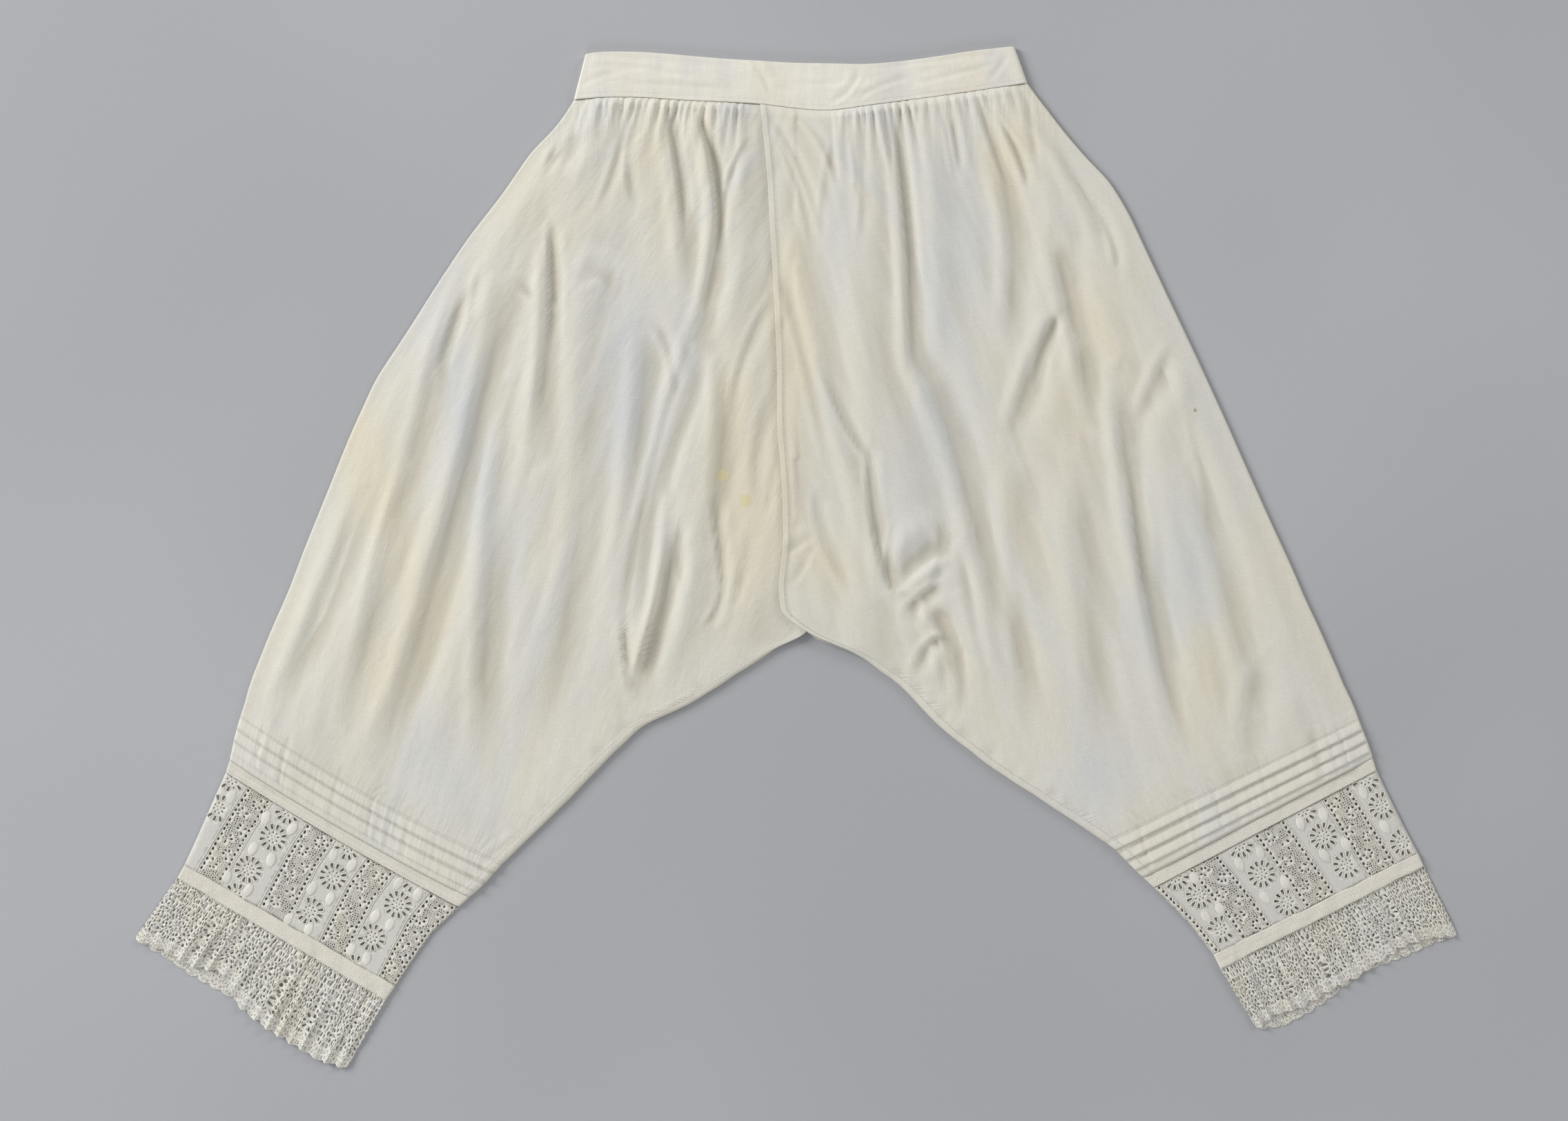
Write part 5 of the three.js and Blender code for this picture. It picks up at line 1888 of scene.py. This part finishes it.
class DRAWERS_OT_strip_seams(bpy.types.Operator):
    """Whips the corded seams between the lace strips"""

    bl_idname = "drawers.strip_seams"
    bl_label = "Strip seams"

    def execute(self, context):
        lace = context.scene.drawers_lace
        material = thread_material("seam_thread", lace)
        for name, side in SIDES.items():
            panel = LacePanel(side)
            t = np.linspace(0.01, 0.99, 40)
            lines = []
            for face, z in (("front", LACE_Z), ("back", LACE_BACK_Z)):
                for strip in side["strips"][:-1]:
                    spots = panel.place(lerp(strip["top"], strip["bottom"], t), t)
                    high = panel_height(panel, spots, face, z)
                    rise = 0.35 if face == "front" else 0.5
                    lines.append(placed(spots[:, 0], spots[:, 1], high + rise))
            piece = corded(f"{name}_strip_seams", lines, 0.45 * MM, material)
            finish_piece(piece, "lace")
        return {"FINISHED"}


def corded(name, lines, radius, material):
    """Round cords along lines of points, as one mesh."""
    curve = bpy.data.curves.new(name, "CURVE")
    curve.dimensions = "3D"
    curve.bevel_depth = radius
    curve.bevel_resolution = 1
    curve.use_fill_caps = True
    for line in lines:
        spline = curve.splines.new("POLY")
        spline.points.add(len(line) - 1)
        for point, spot in zip(spline.points, line):
            point.co = (*spot, 1)
    piece = bpy.data.objects.new(name, curve)
    bpy.context.scene.collection.objects.link(piece)
    deselect_all()
    piece.select_set(True)
    bpy.context.view_layer.objects.active = piece
    bpy.ops.object.convert(target="MESH")
    piece.data.materials.clear()
    piece.data.materials.append(material)
    bpy.ops.object.shade_smooth()
    return piece


class DRAWERS_OT_frills(bpy.types.Operator):
    """Gathers the lace frills onto their tapes"""

    bl_idname = "drawers.frills"
    bl_label = "Frills"

    def execute(self, context):
        lace = context.scene.drawers_lace
        material = net_material("frill_lace", lace, lace.net, FRILL_MESH, 0.2, (1, 0.7, 1), 0.12,
                                FRILL_BORDER)
        for name, side in SIDES.items():
            points, faces, threads, uvs = [], [], [], []
            count = 0
            for face in ("front", "back"):
                flat, solid, triangles, worked = frill_cloth(side, face)
                up = face_up(solid, triangles, np.ones(len(solid), bool))
                if face == "back":
                    up = [f[::-1] for f in up]
                points.append(solid)
                threads.append(worked)
                uvs.append(flat * MM)
                faces.extend([[count + i for i in f] for f in up])
                count += len(solid)
            piece = new_mesh(f"{name}_frill_lace", np.concatenate(points), faces,
                             np.concatenate(uvs), dict(thread=np.concatenate(threads)), [material])
            thicken(piece, lace.lace_thickness)
            finish_piece(piece, "lace", f"frill_{name}")
        return {"FINISHED"}


def frill_holes(seed):
    """Openings of the frill lace laid flat: slits near the tape, floral clusters, fine border."""
    draw = np.random.default_rng(seed)
    spots = []
    for k in range(int(FRILL_LENGTH / FRILL_REPEAT)):
        for down, turn_by in ((27, 0.0), (43, 1.3)):
            across = k * FRILL_REPEAT + (8 if down < 30 else 22)
            middle = np.array([across, down]) + draw.uniform(-2, 2, 2)
            for i in range(7):
                turn = turn_by + 2 * math.pi * i / 7
                spot = middle + 4.6 * np.array([math.cos(turn), 1.15 * math.sin(turn)])
                spots.append((spot, turn, draw.uniform(3.0, 4.2), draw.uniform(1.7, 2.4)))
            spots.append((middle, 0.0, 2.0, 1.8))
    for down in (3.6, 9.4, 15.0, 20.4, 25.6, 30.6, 35.4, 40.2, 45.0, 49.6):
        slit = smoothstep(down, 26, 14)
        shift = draw.uniform(0, 4)
        for across in np.arange(1.8 + shift, FRILL_LENGTH - 1.8, lerp(4.0, 3.3, slit)):
            spot = np.array([across, down]) + draw.uniform(-0.9, 0.9, 2)
            lean = math.pi / 2 + draw.uniform(-0.3, 0.3)
            long = draw.uniform(2.4, 4.2) + 1.5 * slit
            short = draw.uniform(1.3, 2.5) - 0.35 * slit
            if draw.uniform() < 0.78:
                spots.append((spot, lean, long, short))
    kept = []
    for spot, turn, long, short in spots:
        reach = math.sqrt(long * short) / 2
        clear = not kept or (np.hypot(*(np.array([p for p, _ in kept]) - spot).T)
                             > reach + np.array([r for _, r in kept]) + 0.55).all()
        limit = long / 2 + 0.6
        held = limit < spot[0] < FRILL_LENGTH - limit and limit < spot[1] < FRILL_DEPTH - 4.5
        if clear and held:
            kept.append((spot, reach))
            yield turned(oval(6, long, short), turn, spot)


def frill_cloth(side, face):
    """One side of a frill: flat lace points, their places in metres, triangles and thread."""
    holes = list(frill_holes(side["seed"] + (50 if face == "back" else 0)))
    across = np.linspace(0, FRILL_LENGTH, 240)
    down = np.linspace(0, FRILL_DEPTH, 34)[1:-1]
    outline = np.concatenate([
        np.stack([across, 0 * across], -1),
        np.stack([0 * down + FRILL_LENGTH, down], -1),
        np.stack([across[::-1], 0 * across + FRILL_DEPTH], -1),
        np.stack([0 * down, down[::-1]], -1),
    ])
    fill = off_holes(even_points(outline, 2.0, 0.8), holes, 0.3)
    flat, triangles, edging = cut_cloth(outline, holes, fill)
    u = flat[:, 0] / FRILL_LENGTH
    v = flat[:, 1] / FRILL_DEPTH
    bunch = 0.012 * np.sin(2 * math.pi * 5 * u) + 0.006 * np.sin(2 * math.pi * 13 * u + 1)
    u = np.clip(u + bunch * np.sin(math.pi * u), 0, 1)
    line = side["hem"]["frill"]
    top = lerp(np.array(line["fold"], float), np.array(line["front"], float), u[:, None])
    end = read_along(column(side["frill"], face), u * (len(side["frill"]) - 1))
    reach = np.linalg.norm(end - top, axis=1)
    lobe = np.sqrt(np.abs(np.sin(math.pi * RUFFLES * u))) - 0.72
    lobe = lobe * (0.75 + 0.35 * rough(u * 100, u * 0, (9, 9), 27))
    point = 0.9 * np.sqrt(np.abs(np.sin(math.pi * 4 * RUFFLES * u)))
    deep = (SCALLOP * lobe + point) / reach
    spot = lerp(top, end, (lerp(SEAM / reach, 1 + deep * smoothstep(v, 0.6, 1), v))[:, None])
    wave_at = 2 * math.pi * RUFFLES * u + np.sin(9 * u)
    wave = 0.5 - 0.5 * np.cos(wave_at)
    worked = np.maximum(edging * 0.8, 0.75 * smoothstep(v, 0.975, 0.99))
    if face == "back":
        z = 0.3 * wave * v + 0.15 * rough(flat[:, 0], flat[:, 1], (5, 9), 41)
        z = np.maximum(z, 0)
    else:
        swell = smoothstep(u, 0, 0.06) * (0.66 + 0.44 * rough(u * 100, 0 * u, (6, 9), 51))
        fine = 0.5 - 0.5 * np.cos(2 * math.pi * 41 * u + 3 * np.sin(17 * u))
        fine = fine * (0.7 + 0.5 * rough(u * 100, 0 * u, (3.1, 9), 53))
        z = REST_Z + RUFFLE_RISE * lerp(0.2, 1, v) * wave * swell
        z += 0.9 * fine * (1 - 0.5 * v) * swell + 0.6 * rough(flat[:, 0], flat[:, 1], (8, 16), 43)
        z = np.maximum(z, 1.3) - 0.5 * (1 - smoothstep(u, 0, 0.02))
        along = np.subtract(line["front"], line["fold"])
        along = along / np.linalg.norm(along)
        lean = 1.5 * v * np.sin(wave_at) * swell * smoothstep(1 - u, 0, 0.06)
        spot = spot + lean[:, None] * along
    solid = placed(spot[:, 0], spot[:, 1], z)
    if face == "back":
        a, b, c = (solid[np.array(triangles)[:, i]] for i in range(3))
        lift = np.cross(b - a, c - a)[:, 2]
        triangles = [t for t, up in zip(triangles, lift * lift.sum() > 0) if up]
    return flat, solid, triangles, worked


LIGHTS = named(
    "name spot power",
    ("soft_key", (-4.0, 2.2, 2.0), 218),
    ("soft_side", (4.0, 2.8, 2.0), 82),
    ("soft_front", (-0.6, -4.2, 2.2), 46),
)
LIGHT_SIZE = 1.8
AIR_COLOUR = (0.985, 0.99, 1.0, 1)
AIR_STRENGTH = 0.41
VIEW_CENTRE = (-9.3, -3.1)


class DRAWERS_OT_studio(bpy.types.Operator):
    """Sets the floor, the soft lights and the camera straight above"""

    bl_idname = "drawers.studio"
    bl_label = "Studio"

    def execute(self, context):
        studio = context.scene.drawers_studio
        deselect_all()
        bpy.ops.mesh.primitive_plane_add(size=6, location=(0, 0, 0))
        floor = context.object
        floor.name = "studio_floor"
        floor.data.materials.append(floor_material(studio))
        floor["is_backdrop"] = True
        for lamp in LIGHTS:
            self.light(**lamp)
        world = bpy.data.worlds.new("studio_air")
        world.use_nodes = True
        air = world.node_tree.nodes["Background"]
        air.inputs["Color"].default_value = AIR_COLOUR
        air.inputs["Strength"].default_value = AIR_STRENGTH
        context.scene.world = world
        context.scene.view_settings.view_transform = "Standard"
        self.camera(context, studio)
        return {"FINISHED"}

    def light(self, name, spot, power):
        """A square soft light that faces the middle of the floor."""
        lamp = bpy.data.lights.new(name, "AREA")
        lamp.size = LIGHT_SIZE
        lamp.energy = power
        holder = bpy.data.objects.new(name, lamp)
        holder.location = spot
        holder.rotation_euler = (-Vector(spot)).to_track_quat("-Z", "Y").to_euler()
        bpy.context.scene.collection.objects.link(holder)

    def camera(self, context, studio):
        """A camera that looks straight down on the garment."""
        view = bpy.data.cameras.new("overhead_camera")
        view.sensor_fit = "HORIZONTAL"
        view.lens = view.sensor_width * studio.camera_height / studio.view_width
        view.clip_end = 20
        holder = bpy.data.objects.new("overhead_camera", view)
        holder.location = (VIEW_CENTRE[0] * MM, VIEW_CENTRE[1] * MM, studio.camera_height)
        context.scene.collection.objects.link(holder)
        context.scene.camera = holder


STEPS = (
    DRAWERS_OT_waistband, DRAWERS_OT_legs, DRAWERS_OT_tapes, DRAWERS_OT_insertions,
    DRAWERS_OT_embroidery, DRAWERS_OT_strip_seams, DRAWERS_OT_frills, DRAWERS_OT_studio,
)


class DRAWERS_PT_sidebar(bpy.types.Panel):
    """Lists the sewing steps and their settings"""

    bl_idname = "DRAWERS_PT_sidebar"
    bl_label = "Open Drawers"
    bl_space_type = "VIEW_3D"
    bl_region_type = "UI"
    bl_category = "Drawers"

    def draw(self, context):
        for step in STEPS:
            self.layout.operator(step.bl_idname)
        for settings in (context.scene.drawers_cloth, context.scene.drawers_lace,
                         context.scene.drawers_studio):
            box = self.layout.box()
            for name in settings.__annotations__:
                box.prop(settings, name)


CLASSES = (ClothSettings, LaceSettings, StudioSettings, *STEPS, DRAWERS_PT_sidebar)
SETTINGS = dict(drawers_cloth=ClothSettings, drawers_lace=LaceSettings,
                drawers_studio=StudioSettings)


def register():
    for item in CLASSES:
        bpy.utils.register_class(item)
    for name, settings in SETTINGS.items():
        setattr(bpy.types.Scene, name, bpy.props.PointerProperty(type=settings))


def unregister():
    for name in SETTINGS:
        delattr(bpy.types.Scene, name)
    for item in reversed(CLASSES):
        bpy.utils.unregister_class(item)


def main():
    register()
    bpy.ops.drawers.waistband()
    bpy.ops.drawers.legs()
    bpy.ops.drawers.tapes()
    bpy.ops.drawers.insertions()
    bpy.ops.drawers.embroidery()
    bpy.ops.drawers.strip_seams()
    bpy.ops.drawers.frills()
    bpy.ops.drawers.studio()
    sizes = {name: [list(map(float, corner)) for corner in box]
             for name, box in (("cad", CAD_BOUNDS), ("visual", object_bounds()))}


if __name__ == "__main__":
    main()
